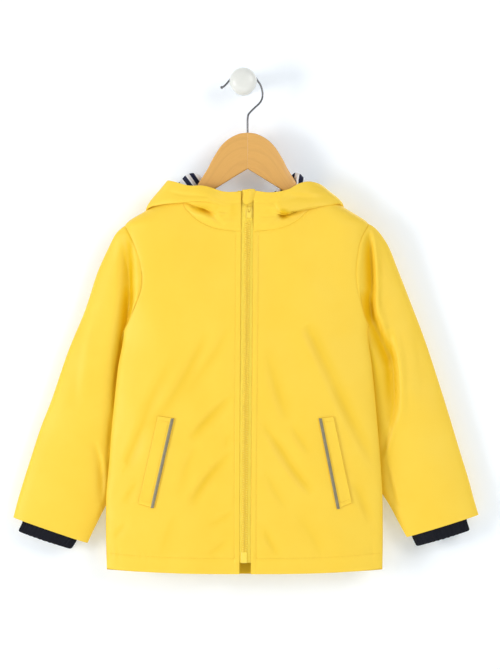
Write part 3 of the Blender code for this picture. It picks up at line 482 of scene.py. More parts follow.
# %% Node helpers
def fill(tree, node, inputs):
    """Gives a node its inputs: each socket gets a value, or a link from another node's socket."""
    for key, value in dict(inputs).items():
        if isinstance(value, bpy.types.NodeSocket):
            tree.links.new(value, node.inputs[key])
        else:
            node.inputs[key].default_value = value
    return node


def put(tree, kind, inputs=(), **settings):
    """Adds a node with its settings and inputs."""
    node = tree.nodes.new("ShaderNode" + kind)
    for name, value in settings.items():
        setattr(node, name, value)
    return fill(tree, node, inputs)


def calc(tree, operation, *values, clamp=False):
    """A Math node's result."""
    node = put(tree, "Math", enumerate(values), operation=operation, use_clamp=clamp)
    return node.outputs[0]


def wave(tree, turns):
    """The sine of a number of whole turns."""
    return calc(tree, "SINE", calc(tree, "MULTIPLY", turns, 6.2832))


def blend(tree, share, first, second, way="MIX"):
    """A colour between two others."""
    node = put(tree, "Mix", {0: share, 6: first, 7: second}, data_type="RGBA", blend_type=way)
    return node.outputs[2]


def noise(tree, where, scale, detail=2.0, rough=0.5):
    """The height of a Noise Texture."""
    inputs = {"Vector": where, "Scale": scale, "Detail": detail, "Roughness": rough}
    return put(tree, "TexNoise", inputs).outputs[0]


def group(name, inputs, outputs):
    """A node group with named sockets; kinds are Float, Color or Vector."""
    tree = bpy.data.node_groups.new(name, "ShaderNodeTree")
    for label, kind, value in inputs:
        socket = tree.interface.new_socket(label, in_out="INPUT", socket_type="NodeSocket" + kind)
        if value is not None:
            socket.default_value = value
    for label, kind in outputs:
        tree.interface.new_socket(label, in_out="OUTPUT", socket_type="NodeSocket" + kind)
    return tree, tree.nodes.new("NodeGroupInput").outputs, tree.nodes.new("NodeGroupOutput")


def place(tree, made, inputs):
    """Puts a finished group into a material."""
    return put(tree, "Group", inputs, node_tree=bpy.data.node_groups[made]).outputs


# %% [markdown]
# ## The shared effects
# Drifting colour is a slow noise between two colours. Fine grain is a pattern of small cells for
# the pebbled face, with broader specks, and with smears that make some places duller. The knit
# draws columns of V-shaped loops and the weave slanting yarns. Both are counted in the cloth's own
# metres, so they keep their size on every piece.

# %% The shared effects
tree, given, out = group(
    "drifting colour",
    [("Place", "Vector", None), ("Light", "Color", (1, 1, 1, 1)), ("Deep", "Color", (0, 0, 0, 1)),
     ("Size", "Float", 0.05), ("Amount", "Float", 0.5)],
    [("Colour", "Color"), ("Drift", "Float")],
)
scale = calc(tree, "DIVIDE", 1.0, given["Size"])
broad = noise(tree, given["Place"], scale, 4.0, 0.6)
drift = put(tree, "MapRange", {0: broad, 1: 0.3, 2: 0.7, 3: 0.0, 4: 1.0}).outputs[0]
deeper = calc(tree, "MULTIPLY", drift, given["Amount"])
fill(tree, out, {"Colour": blend(tree, deeper, given["Light"], given["Deep"]), "Drift": drift})

tree, given, out = group(
    "fine grain",
    [("Place", "Vector", None), ("Size", "Float", 0.0005), ("Roughness", "Float", 0.5),
     ("Unevenness", "Float", 0.1)],
    [("Height", "Float"), ("Roughness", "Float")],
)
scale = calc(tree, "DIVIDE", 1.0, given["Size"])
cells = put(tree, "TexVoronoi", {"Vector": given["Place"], "Scale": scale}, feature="SMOOTH_F1")
specks = noise(tree, given["Place"], calc(tree, "MULTIPLY", scale, 0.35), 3.0)
smear = calc(tree, "SUBTRACT", noise(tree, given["Place"], 28.0, 3.0), 0.5)
fill(tree, out, {
    "Height": calc(tree, "ADD", calc(tree, "MULTIPLY", cells.outputs["Distance"], 0.7),
                   calc(tree, "MULTIPLY", specks, 0.6)),
    "Roughness": calc(tree, "ADD", given["Roughness"],
                      calc(tree, "MULTIPLY", smear, given["Unevenness"]))})

tree, given, out = group(
    "knit",
    [("Cloth UV", "Vector", None), ("Stitch width", "Float", 0.0012),
     ("Stitch height", "Float", 0.0009)],
    [("Height", "Float"), ("Painted hollow shade", "Float")],
)
parts = put(tree, "SeparateXYZ", {0: given["Cloth UV"]})
column = calc(tree, "DIVIDE", parts.outputs[0], given["Stitch width"])
leg = calc(tree, "ABSOLUTE", calc(tree, "SUBTRACT", calc(tree, "FRACT", column), 0.5))
row = calc(tree, "ADD", calc(tree, "DIVIDE", parts.outputs[1], given["Stitch height"]),
           calc(tree, "MULTIPLY", leg, 1.3))
legs = calc(tree, "MULTIPLY_ADD", wave(tree, leg), 0.5, 0.3)
height = calc(tree, "MULTIPLY_ADD", wave(tree, row), 0.3, legs)
# the hollow output is painted shade: it is high where the loops are low
fill(tree, out, {"Height": height, "Painted hollow shade": calc(tree, "SUBTRACT", 1.0, height, clamp=True)})

tree, given, out = group(
    "weave",
    [("Cloth UV", "Vector", None), ("Yarn", "Float", 0.0006), ("Slant", "Float", 0.5)],
    [("Height", "Float")],
)
parts = put(tree, "SeparateXYZ", {0: given["Cloth UV"]})
warp, weft = (calc(tree, "DIVIDE", parts.outputs[k], given["Yarn"]) for k in (0, 1))
slanted = wave(tree, calc(tree, "MULTIPLY_ADD", warp, given["Slant"], weft))
upright = calc(tree, "MULTIPLY", wave(tree, warp), 0.3)
fill(tree, out, {"Height": calc(tree, "MULTIPLY_ADD", slanted, 0.5, upright)})
print([made.name for made in bpy.data.node_groups])


# %% [markdown]
# ## The coat's materials
# The cloth is a knit with a soft plastic coating. It is matt to satin, a little pebbled, and its
# yellow drifts a little. Shade is painted into the folds: light that bounces about inside a fold
# comes out a richer yellow, and a short render doesn't follow it that far, so each piece keeps how
# deep in a fold or in shade its points lie, and the cloth is painted a darker yellow there. Values
# that are the same all over, such as the metal's metallic value, sit on the shader's own sockets.

# %% Material helpers and the yellow cloth
def new_material(name, roughness, **fixed):
    """A material with its Principled shader; fixed values go on the shader's own sockets."""
    made = bpy.data.materials.new(name)
    made.use_nodes = True
    shader = made.node_tree.nodes["Principled BSDF"]
    shader.inputs["Roughness"].default_value = roughness
    for key, value in fixed.items():
        shader.inputs[key.replace("_", " ").title().replace("Ior", "IOR")].default_value = value
    return made, made.node_tree, shader


def raised(tree, shader, height, distance):
    """Feeds a height in metres through a Bump node."""
    bump = put(tree, "Bump", {"Height": height, "Distance": distance, "Strength": 1.0})
    fill(tree, shader, {"Normal": bump.outputs[0]})


def object_spot(tree):
    return put(tree, "TexCoord").outputs["Object"]


def cloth_uv(tree):
    return put(tree, "UVMap", uv_map="cloth").outputs[0]


def drifting(tree, light, deep, size, amount):
    """A colour that drifts between a light and a deep one."""
    return place(tree, "drifting colour", {
        "Place": object_spot(tree), "Light": (*light, 1), "Deep": (*deep, 1),
        "Size": size, "Amount": amount})["Colour"]


def with_painted_shade(tree, colour, painted_shade_colour):
    """The colour, going to a darker one as painted shade where a piece's points are marked as deep
    in a fold or in shade.
    """
    painted_shade_mark = put(tree, "Attribute", attribute_name="fold").outputs["Fac"]
    return blend(tree, painted_shade_mark, colour, (*painted_shade_colour, 1))


def coated(name, light, deep, roughness, grain, depth, drift, amount, uneven=0.12, folds=None,
           **fixed):
    """A smooth finish with drifting colour and fine grain: coated cloth, plastic, thread. folds is
    a darker colour, painted in as shade where a piece's points are marked as deep in a fold.
    """
    made, tree, shader = new_material(name, roughness, **fixed)
    colour = drifting(tree, light, deep, drift, amount)
    face = place(tree, "fine grain", {
        "Place": object_spot(tree), "Size": grain, "Roughness": roughness, "Unevenness": uneven})
    base = with_painted_shade(tree, colour, folds) if folds else colour
    fill(tree, shader, {"Base Color": base, "Roughness": face["Roughness"]})
    raised(tree, shader, face["Height"], depth)
    return made


# its folds colour is painted shade: a darker yellow laid where the pieces mark folds and shade
yellow_cloth = coated("yellow coated cloth", (0.94, 0.650, 0.062), (0.93, 0.605, 0.040), 0.46,
                      0.0007, 0.00004, drift=0.07, amount=0.55, folds=(0.80, 0.50, 0.004),
                      specular_ior_level=0.3)
yellow_plastic = coated("yellow moulded plastic", (0.96, 0.73, 0.095), (0.92, 0.65, 0.05), 0.33,
                        0.0004, 0.00002, drift=0.01, amount=0.4)
thread = coated("yellow thread", (0.92, 0.62, 0.045), (0.88, 0.56, 0.03), 0.6,
                0.0003, 0.00005, drift=0.004, amount=0.7)
white_china = coated("white glazed china", (0.78, 0.79, 0.75), (0.73, 0.75, 0.71), 0.3,
                     0.004, 0.00001, drift=0.02, amount=0.4, uneven=0.06, coat_weight=0.2)
print(yellow_cloth.name, yellow_plastic.name, thread.name, white_china.name)

# %% [markdown]
# ## Knit, tape and strip
# The hood's lining is a striped jersey: navy and white bars 5 mm wide, knitted in, so the stripe is
# a square wave along the cloth's UV. The cuffs are a coarser knit, the zip's tape a twill, and the
# reflective strip a grey film full of tiny glass beads, which shine back from some spots only:
# there the film is metallic, and painted lighter as a painted glint.

# %% Jersey, rib, tape and strip
STRIPE = 0.0107


def knitted(name, light, deep, wide, tall, depth, stripe=None):
    """A knit with loops of a real size, painted shade in the hollows between the loops, and
    darker bars where it has a stripe.
    """
    made, tree, shader = new_material(name, 0.88, specular_ior_level=0.25)
    uv = cloth_uv(tree)
    loops = place(tree, "knit", {"Cloth UV": uv, "Stitch width": wide, "Stitch height": tall})
    colour = drifting(tree, light, deep, 0.01, 0.6)
    if stripe:
        length = put(tree, "SeparateXYZ", {0: uv}).outputs[1]
        bar = calc(tree, "FRACT", calc(tree, "DIVIDE", length, STRIPE))
        colour = blend(tree, calc(tree, "GREATER_THAN", bar, 0.5), colour, (*stripe, 1))
    # painted shade: the hollows between the loops are painted darker
    hollow_shade = calc(tree, "MULTIPLY", loops["Painted hollow shade"], 0.25)
    shade = blend(tree, hollow_shade, (1, 1, 1, 1), (0.45, 0.45, 0.5, 1))
    fill(tree, shader, {"Base Color": blend(tree, 1.0, colour, shade, "MULTIPLY")})
    raised(tree, shader, loops["Height"], depth)
    return made


striped_jersey = knitted("striped jersey", (0.95, 0.95, 0.95), (0.88, 0.88, 0.90),
                         0.0011, 0.0008, 0.0002, stripe=(0.012, 0.014, 0.045))
navy_rib = knitted("navy rib knit", (0.011, 0.012, 0.020), (0.006, 0.007, 0.012),
                   0.0013, 0.0010, 0.00035)

yellow_tape, tree, shader = new_material("yellow zip tape", 0.75)
twill = place(tree, "weave", {"Cloth UV": cloth_uv(tree), "Yarn": 0.0006, "Slant": 0.5})["Height"]
colour = drifting(tree, (0.97, 0.73, 0.08), (0.94, 0.68, 0.05), 0.004, 0.6)
# painted shade: the tape goes to a darker yellow where it is marked, under the teeth
fill(tree, shader, {"Base Color": with_painted_shade(tree, colour, (0.86, 0.55, 0.02))})
raised(tree, shader, twill, 0.00012)

grey_strip, tree, shader = new_material("grey reflective film", 0.38)
beads = put(tree, "TexVoronoi", {"Vector": object_spot(tree), "Scale": 2600.0}).outputs["Distance"]
sparkle = put(tree, "MapRange", {0: beads, 1: 0.1, 2: 0.6, 3: 1.0, 4: 0.0}).outputs[0]
colour = drifting(tree, (0.24, 0.21, 0.12), (0.15, 0.13, 0.07), 0.006, 0.7)
# painted glint: the beads' spots are painted lighter, as well as made metallic
painted_glint = calc(tree, "MULTIPLY", sparkle, 0.35)
fill(tree, shader, {
    "Base Color": blend(tree, painted_glint, colour, (0.52, 0.50, 0.44, 1)),
    "Metallic": calc(tree, "MULTIPLY", sparkle, 0.45)})
raised(tree, shader, sparkle, 0.00005)
print(striped_jersey.name, navy_rib.name, yellow_tape.name, grey_strip.name)

# %% [markdown]
# ## Wood and steel
# The hanger is sawn from pale wood and varnished. Its grain runs along each arm, so it is drawn
# from UV coordinates that follow the arm: long noise for the fibres, and bent bands for the year
# rings, which open out where the saw cut across them. The hook is plated wire with faint drawing
# marks.

# %% Wood and steel
def stretched(tree, across, down):
    """The cloth UV squeezed or drawn out in two directions."""
    return put(tree, "Mapping", {0: cloth_uv(tree), 3: (across, down, 1.0)}).outputs[0]


honey_wood, tree, shader = new_material("honey varnished wood", 0.4, coat_weight=0.25)
fibres = noise(tree, stretched(tree, 9.0, 120.0), 9.0, 6.0, 0.65)
rings_way = stretched(tree, 3.2, 40.0)
height = calc(tree, "MULTIPLY", put(tree, "SeparateXYZ", {0: rings_way}).outputs[1], 9.0)
bent = calc(tree, "MULTIPLY_ADD", noise(tree, rings_way, 1.6), 26.0, height)
rings = calc(tree, "MULTIPLY_ADD", calc(tree, "SINE", bent), 0.5, 0.5, clamp=True)
pale = blend(tree, fibres, (0.79, 0.45, 0.125, 1), (0.68, 0.345, 0.072, 1))
ring_share = calc(tree, "MULTIPLY", calc(tree, "POWER", rings, 3.0), 0.17)
fill(tree, shader, {
    "Base Color": blend(tree, ring_share, pale, (0.52, 0.24, 0.06, 1)),
    "Roughness": calc(tree, "MULTIPLY_ADD", fibres, 0.2, 0.3)})
raised(tree, shader, fibres, 0.00012)

steel_wire, tree, shader = new_material("plated steel wire", 0.22, metallic=1.0)
drawn = noise(tree, stretched(tree, 900.0, 30.0), 1.0, 3.0)
fill(tree, shader, {
    "Base Color": blend(tree, drawn, (0.24, 0.24, 0.25, 1), (0.14, 0.14, 0.15, 1)),
    "Roughness": calc(tree, "MULTIPLY_ADD", drawn, 0.2, 0.14)})
raised(tree, shader, drawn, 0.00002)
print(honey_wood.name, steel_wire.name)

# %% [markdown]
# ## Fronts and back
# Each panel is one cut of cloth between four edges: the middle, the neckline with the shoulder, the
# armhole with the side seam, and the hem. A Coons patch spans a grid between those edges, so the
# grid's rows meet the seams just as the cloth does. The hem and the zip's edge are turned twice and
# stitched, so the cloth stands a little higher there and is drawn in along the stitches.

# %% Body panels
def neck_line(face, start=0.0):
    """A neckline from the middle outwards: across and z."""
    neck = FRONT_NECK if face == "front" else BACK_NECK
    across = np.linspace(start, neck["across"][-1], 80)
    return np.stack([across, smooth(neck["across"], neck["z"], across, within=True)], axis=1)


def panel_plane(side, face, u, v):
    """Half a panel's grid in the (across, z) plane, spanned between its four edges."""
    rise = HEM_RISE[face]

    def start(z):
        return SIDES[side] * zip_x(side, z) if face == "front" else 0.0 * z

    tip, under = SHOULDER_TIP_Z[side], UNDERARM_Z[side]
    neck = neck_line(face, float(start(FRONT_NECK["z"][0])))
    shoulder_z = np.linspace(NECK_SIDE_Z, tip, 40)
    shoulder = np.stack([body(side, shoulder_z), shoulder_z], axis=1)
    top = np.where(
        (u <= NECK_PART)[:, None], along(neck, np.minimum(u / NECK_PART, 1)),
        along(shoulder, unit((u - NECK_PART) / (1 - NECK_PART))))
    down = unit(v / ARMHOLE_PART)
    seam = unit((v - ARMHOLE_PART) / (1 - ARMHOLE_PART))
    by_arm = v <= ARMHOLE_PART
    out_z = np.where(by_arm, tip + down * (under - tip), under + seam * (HEM_SIDE_Z + rise - under))
    outer = np.stack([body(side, out_z), out_z], axis=1)
    cut = np.where(by_arm, smooth(ARMHOLE["down"], ARMHOLE[side], down), 0.0)
    first, last = top[0, 1], HEM_Z + rise
    middle_z = first + v * (last - first)
    middle = np.stack([start(middle_z), middle_z], axis=1)
    hem_x = middle[-1, 0] + u * (outer[-1, 0] - middle[-1, 0])
    hem = np.stack([hem_x, last + (outer[-1, 1] - last) * (hem_x / hem_x[-1]) ** 3], axis=1)
    u, v = u[None, :, None], v[:, None, None]
    grid = (
        (1 - v) * top[None] + v * hem[None] + (1 - u) * middle[:, None] + u * outer[:, None]
        - (1 - u) * (1 - v) * top[0] - u * (1 - v) * top[-1]
        - (1 - u) * v * hem[0] - u * v * hem[-1])
    inside = np.minimum(grid[..., 0], body(side, grid[..., 1]))
    grid[..., 0] = inside - cut[:, None] * u[..., 0] ** 4
    return grid


HEM_STITCH, ZIP_STITCH = 20.0, 6.5     # how far the rows of stitches lie from hem and zip
FAR = 99.0              # a distance at which no edge matters
PANEL_LONG, PANEL_WIDE = 443, 175      # they turn the rows' and columns' places into shares
TOP_ROWS = np.array([0, 0.8, 1.8, 3.2, 5.0]) / PANEL_LONG
HEM_ROWS = 1 - np.array(
    [26, 24, 22.4, 21.2, 20.3, 19.4, 18.2, 16.5, 14, 11, 8, 5, 2.5, 0]) / PANEL_LONG
PANEL_ROWS = np.concatenate([TOP_ROWS, np.linspace(0.018, 0.935, 150), HEM_ROWS])
ZIP_COLUMNS = np.array([0, 0.7, 1.6, 2.8, 4, 5, 5.8, 6.5, 7.2, 8.2, 9.8, 12.2]) / PANEL_WIDE
WIDE_COLUMNS = np.sin(np.linspace(0, math.pi / 2, 78))
COLUMNS = {
    "front": np.concatenate([ZIP_COLUMNS, WIDE_COLUMNS[WIDE_COLUMNS > 0.085]]),
    "back": WIDE_COLUMNS,
}


def stitched_y(face, x, z, from_zip, from_hem):
    """The panel's y with its turned, stitched hem and zip edge."""
    pucker = 0.22 * np.sin(x / 1.9 + 2 * np.sin(x / 7)) * hill(from_hem - HEM_STITCH, 8)
    relief = (
        0.25 * hill(from_hem - HEM_STITCH, 1.4) - 0.2 * step_down(from_hem, HEM_STITCH)
        + 0.3 * hill(from_zip - ZIP_STITCH, 1.0) - 0.3 * step_down(from_zip, ZIP_STITCH) + pucker)
    return cloth_y(face, x, z) + relief * (1 if face == "front" else -1)


def panel_grid(side, face):
    plane = panel_plane(side, face, COLUMNS[face], PANEL_ROWS)
    across, z = plane[..., 0], plane[..., 1]
    x = SIDES[side] * across
    from_zip = across - SIDES[side] * zip_x(side, z) if face == "front" else np.full(z.shape, FAR)
    y = stitched_y(face, x, z, from_zip, z - z[-1])
    to_seam = np.minimum(z[0] - z, across[:, -1:] - across)
    y = y + 0.5 * np.exp(-to_seam / 1.5) * (1 if face == "front" else -1)
    return np.stack([x, y, z], axis=2)


for side, sign in SIDES.items():
    piece = shell(f"front_{side}_cloth", panel_grid(side, "front"), yellow_cloth, side=-sign)
    # painted shade: the fronts are painted a darker yellow along the troughs of their creases
    paint_fold_shade(piece, lambda x, z: 0.22 * pressed(FRONT_CREASES, x, z))
    dress(piece, "yellow_shell", f"front_{side}")
halves = {side: panel_grid(side, "back") for side in SIDES}
joined = np.concatenate([halves["left"][:, :0:-1], halves["right"]], axis=1)
# painted shade: the back's inner face, seen through the gap between the fronts, is painted a darker
# yellow all over
back = paint_fold_shade(shell("back_cloth", joined, yellow_cloth), lambda x, z: np.ones(len(x)))
back = dress(back, "yellow_shell", "back_panel")

# %% [markdown]
# ## Sleeves
# A sleeve is one cut of cloth, closed to a tube and set into the armhole. Its rings are ovals
# between an outer and an inner edge, and the first ring is the armhole itself, so that sleeve and
# body share one seam. The deep folds lie where a hanging sleeve breaks: just outside the armhole,
# and down its inner side, where it goes behind the body.

# %% Sleeves
SLEEVE = {
    "left": table("outer_x outer_z inner_x inner_z middle deep", """
        -171.5  -197.5  -163.5  -333  -38    13
        -181    -215    -160    -349  -33.5  14
        -196    -248    -158    -372  -30.5  15
        -212.4  -297.7  -157    -403  -28.5  15.5
        -234.3  -350.6  -158    -440  -27.5  15.5
        -255.3  -412    -160    -475  -27    15
        -270.4  -451    -166    -506  -26.5  14.5
        -285.4  -497    -176    -534  -26.5  14
        -295.9  -530.5  -189.5  -561  -26.5  13.5
        -301.5  -550    -201    -584  -26.5  13
        -306    -567.4  -208.8  -601  -26.5  12.5"""),
    "right": table("outer_x outer_z inner_x inner_z middle deep", """
        168.9  -192.8  157.5  -325    -38    13
        183.6  -213.8  154    -344    -33.5  14
        196.3  -244.8  153    -370    -30.5  15
        212.7  -286.7  152    -402    -28.5  15.5
        232.7  -339.7  152    -438    -27.5  15.5
        255.6  -410    155    -474    -27    15
        267    -447    162    -504    -26.5  14.5
        277.5  -482    172    -530    -26.5  14
        288    -516    185.5  -552.5  -26.5  13.5
        295.5  -543.5  197    -574    -26.5  13
        301.6  -564    207.6  -593.3  -26.5  12.5"""),
}
SLEEVE_CREASES = {
    "left": table(CREASE, """
        -151  -190  -152  -248  -151  -324  11  12
        -149  -268  -161  -338  -171  -434  10  10.5
        -200  -466  -190  -508  -192  -548  6   3.6
        -176  -425  -178  -458  -182  -492  6   2.4
        -212  -300  -222  -360  -226  -430  16  1.2"""),
    "right": table(CREASE, """
        156  -190  162  -250  161  -316  8.5  10.5
        155  -270  169  -320  191  -368  11   11
        180  -320  190  -384  188  -450  13   11.5
        190  -425  184  -455  174  -490  7    3.4
        182  -498  190  -533  198  -558  6    2.2
        214  -300  224  -360  228  -430  -16  1.1"""),
}
# laid for the right sleeve; the left one has them mirrored
SLEEVE_BACK_CREASES = table(CREASE, """
    166  -214  172  -262  168  -330  9  3
    205  -330  192  -390  184  -446  9  2.4
    240  -430  216  -480  202  -540  9  2
    262  -480  250  -520  246  -560  8  1.3""")
AROUND = np.linspace(0, 2 * math.pi, 112, endpoint=False)
SHARP = 0.42            # the sleeves' folds break sharper
# the body's shade is painted on each sleeve this far from the body's edge
BODY_SHADE_REACH = {"left": 9.0, "right": 15.0}     # how far the body's shade reaches on each sleeve


def sleeve_grid(side):
    """The sleeve's rings, from the armhole to the hem."""
    sheet, sign = SLEEVE[side], SIDES[side]
    down = (1 - np.cos(AROUND)) / 2
    tip, under = SHOULDER_TIP_Z[side], UNDERARM_Z[side]
    z = tip + down * (under - tip)
    x = sign * (body(side, z) - smooth(ARMHOLE["down"], ARMHOLE[side], down))
    y = np.where(np.sin(AROUND) >= -1e-9, cloth_y("front", x, z), cloth_y("back", x, z))
    rings = [np.stack([x + sign * GAP, y, z], axis=1)]
    for k in range(len(sheet["deep"])):
        outer = np.array((sheet["outer_x"][k], sheet["outer_z"][k]))
        inner = np.array((sheet["inner_x"][k], sheet["inner_z"][k]))
        line = outer + (inner - outer) * down[:, None]
        bow = np.interp(k, (-1, 0, 2, 4), (20.0, 15.0, 6.0, 0.0))     # near the armhole only
        line[:, 0] -= sign * bow * 4 * down * (1 - down)
        y = sheet["middle"][k] - sheet["deep"][k] * np.sin(AROUND)
        rings.append(np.stack([line[:, 0], y, line[:, 1]], axis=1))
    places = np.concatenate([
        (0, 0.03, 0.07, 0.12, 0.2, 0.3, 0.45), np.linspace(0.6, 10.6, 140),
        (10.75, 10.85, 10.93, 11)])
    grid = smooth(np.arange(12), np.array(rings), places, within=True)
    x, z = grid[..., 0], grid[..., 2]
    start = unit(places - 0.1)[:, None]
    front = unit(np.sin(AROUND) * 2.2) * start
    behind = unit(-np.sin(AROUND) * 2.2) * start
    folds = pressed(SLEEVE_CREASES[side], x, z, SHARP)
    grid[..., 1] += front * (folds + waves(x, z, 12 + sign, 0.45))
    mirrored = {k: v * sign if k.startswith("x") else v for k, v in SLEEVE_BACK_CREASES.items()}
    grid[..., 1] -= behind * (pressed(mirrored, x, z) + waves(x, z, 21 + sign, 0.7))
    run = np.linalg.norm(grid - grid[:1], axis=2)
    tuck = np.exp(-run / 1.4)             # the seam's allowance goes under the body's edge
    grid[..., 0] -= sign * 1.8 * abs(np.sin(AROUND)) * tuck
    grid[..., 1] += 1.7 * np.clip(4 * np.sin(AROUND), -1, 1) * tuck
    rise = 0.3 * hill(run - 5, 3)
    return grid + normals_of(grid, True) * sign * rise[..., None]


def sleeve_painted_shade(side, x, z):
    """How much painted shade a place on the sleeve's front gets: in its folds, and close by the
    body's edge, where the body shades it.
    """
    beside = hill(np.clip(abs(x) - body(side, z), 0, None), BODY_SHADE_REACH[side])
    beside = beside * unit((-z - 300) / 40) * unit((z + 590) / 120)
    return np.maximum(pressed(SLEEVE_CREASES[side], x, z, SHARP / 1.5) / 8, 0.9 * beside)


for side, sign in SIDES.items():
    piece = shell(f"sleeve_{side}_cloth", sleeve_grid(side), yellow_cloth, closed=True, side=sign)
    # painted shade on the sleeves' fronts: in their folds and beside the body's edge
    paint_fold_shade(piece, lambda x, z: sleeve_painted_shade(side, x, z))
    dress(piece, "yellow_shell", f"sleeve_{side}")

# %% [markdown]
# ## Rib cuffs
# The cuffs are tubes of rib knit, sewn inside the sleeve's hem so that only their ends show. The
# ribs are real ridges in the mesh, because they show at the edge; the loops of the knit are only
# bump. Towards the lower edge the ribs die away, where the cloth is folded back on itself.

# %% Cuffs
CUFF_ENDS = {       # across and z of the mouth's outer and inner ends
    "left": ((-293.2, -572.1), (-223.3, -595.7)), "right": ((285.2, -570.4), (215.0, -591.4))}
CUFF_DEEP, CUFF_CLOTH, RIBS, CUFF_MIDDLE = 9.5, 2.0, 30, -26.5
CUFF_FLARE_MOST = 1.06      # from front to back; inside the hem there is less room
CUFF_LEAN = {"left": 0.2, "right": 0.09}      # they hang a little aside
# place along the cuff, how wide against its mouth, how tall its ribs are
CUFF_PROFILE = table("place flare tall", """
    -16   1.12   0
    -12   1.08   0.8
    -3    1.02   1
    4     1      1
    12.7  0.985  1
    14.4  0.97   0.6
    15.2  0.935  0.2""")
for side, sign in SIDES.items():
    outer_end, inner_end = np.array(CUFF_ENDS[side])
    centre, half = (outer_end + inner_end) / 2, (inner_end - outer_end) / 2
    wide = np.linalg.norm(half)
    run = half / wide
    out = np.array((run[1], -run[0])) * (1 if run[0] > 0 else -1)
    turn = np.linspace(0, 2 * math.pi, RIBS * 10, endpoint=False)
    rib = 0.5 * np.cos(turn * RIBS) + 0.1 * np.sin(turn * 7 + sign)
    grid = []
    for place_mm in np.concatenate([np.linspace(-16, 11, 15), (12.7, 13.7, 14.4, 14.9, 15.2)]):
        flare, tall = (smooth(CUFF_PROFILE["place"], CUFF_PROFILE[k], place_mm, within=True)
                       for k in ("flare", "tall"))
        reach = wide * flare + tall * rib
        deep = CUFF_DEEP * min(float(flare), CUFF_FLARE_MOST) + tall * rib
        aside = CUFF_LEAN[side] * max(place_mm - 4, 0)
        sideways = aside + reach * np.cos(turn)
        x, z = (centre[k] + out[k] * place_mm - run[k] * sideways for k in (0, 1))
        grid.append(np.stack([x, CUFF_MIDDLE - deep * np.sin(turn), z], axis=1))
    piece = shell(f"cuff_{side}_rib", np.array(grid), navy_rib, thick=CUFF_CLOTH, closed=True,
                  side=sign)
    dress(piece, "navy_rib", f"cuff_{side}")

# %% [markdown]
# ## The dropped hood
# The hood has two halves with a seam down the middle. From the neckline the cloth rises round the
# neck, turns over, falls outwards to its fold and comes up again to the hood's edge. Sections at a
# few places round the neck say where the rise, the fold and the edge are; smooth lines through them
# make the surface. A loft keeps the long, soft rolls that a simulated hood would lose.

# %% Hood sections
HOOD_NAMES = "seam  rise_x rise_y rise_z  fold_x fold_y fold_z  edge_x edge_y edge_z  ridge layers"
HOOD = {
    "left": table(HOOD_NAMES, """
        8.9   8.9  -60.5  -178  8.7    -62    -161    8.5  -61.5  -143.8  0  0
        31    31   -60.5  -178  31     -63.5  -161    31   -61.5  -143.8  0  0
        56    54   -57.5  -163  57     -64.5  -156.5  56   -60.5  -136.5  4  4
        76    68   -53    -147  86     -60.5  -158    77   -57    -135.9  2  4
        83.2  76   -47.5  -131  112.5  -53    -160.5  97   -50    -130.2  0  3
        86.5  80   -33    -123  131    -40    -167    105  -38    -130    0  2.4"""),
    "right": table(HOOD_NAMES, """
        8     8   -60.5  -178  8      -62    -161    8   -61.5  -142.6  0  0
        31    31  -60.5  -178  31     -63.5  -163    30  -61.5  -144.9  0  0
        56    52  -58    -164  48     -64.5  -172    52  -60.5  -141    2  4
        76    66  -53    -147  78     -60.5  -166.5  67  -57    -133.2  2  4
        83.2  69  -47.5  -129  102    -54    -162    82  -50    -130.3  0  3
        86.5  66  -33    -120  121.5  -40    -160.5  97  -38    -135.5  0  2.4"""),
}
HOOD_BEHIND = table(HOOD_NAMES, """
    78    67    -25.5  -120.5  127   -17    -186  101   -17   -142  0  5
    62    53    -24    -134    118   -15.5  -232  88    -9.5  -156  0  8
    34    31    -24    -147    74    -15.5  -290  50    -8    -176  0  9
    0.15  0.15  -24    -150    0.15  -15.5  -318  0.15  -8    -184  0  9""")
# how far inwards the rise stands in those sections
BEHIND_SHIFT = {"left": (0.0, 0.0, 0.0, 0.0), "right": (6.5, 4.0, 0.0, 0.0)}
TURNING = 5             # the section on the shoulder seam
BETWEEN = 12            # rows from one section to the next
PROFILE_STEPS = (5, 10, 5, 5, 10, 10, 5, 10, 15)
RISE, SAG, OUTSIDE = 20, 40, 52      # the columns at the rise, the lining's end, the roll's face
LINING_ROW = 3 * BETWEEN    # in front of it the lining lies behind the collar
HOOD_STITCH = 14        # the turned edge's width


def section_points(sheet, k):
    """The points of one section from beside its rise to the hood's edge."""
    rise, fold, edge = (
        np.array([sheet[f"{name}_{axis}"][k] for axis in "xyz"])
        for name in ("rise", "fold", "edge"))
    apart = sheet["layers"][k] / 2
    if apart < 1:
        past = rise + (fold - rise) * 0.3
        return (rise - (0, 0, 5), rise, past, (2 * past + fold) / 3, (past + 2 * fold) / 3,
                fold, (fold + edge) / 2, edge)
    out = np.array((0.2 * min(1, rise[0] / 40), 1, 0)) if k > TURNING else (fold - rise) * (1, 1, 0)
    out = out / np.linalg.norm(out)
    near, past = rise - out * 3 - (0, 0, 3), rise + out * 3 - (0, 0, 3)
    lift = np.array((0, 0, apart * 0.7))
    under, over = fold - out * apart + lift, fold + out * apart + lift
    return near, rise, past, (past + under) / 2 - (0, 0, 5), under, fold, over, edge


def stepped(points):
    """A smooth line through a section's points, with the profile's number of steps between them."""
    run = arc(points)
    at = [run[k] + (run[k + 1] - run[k]) * j / n
          for k, n in enumerate(PROFILE_STEPS) for j in range(n)]
    return smooth(run, points, at + [run[-1]], within=True)


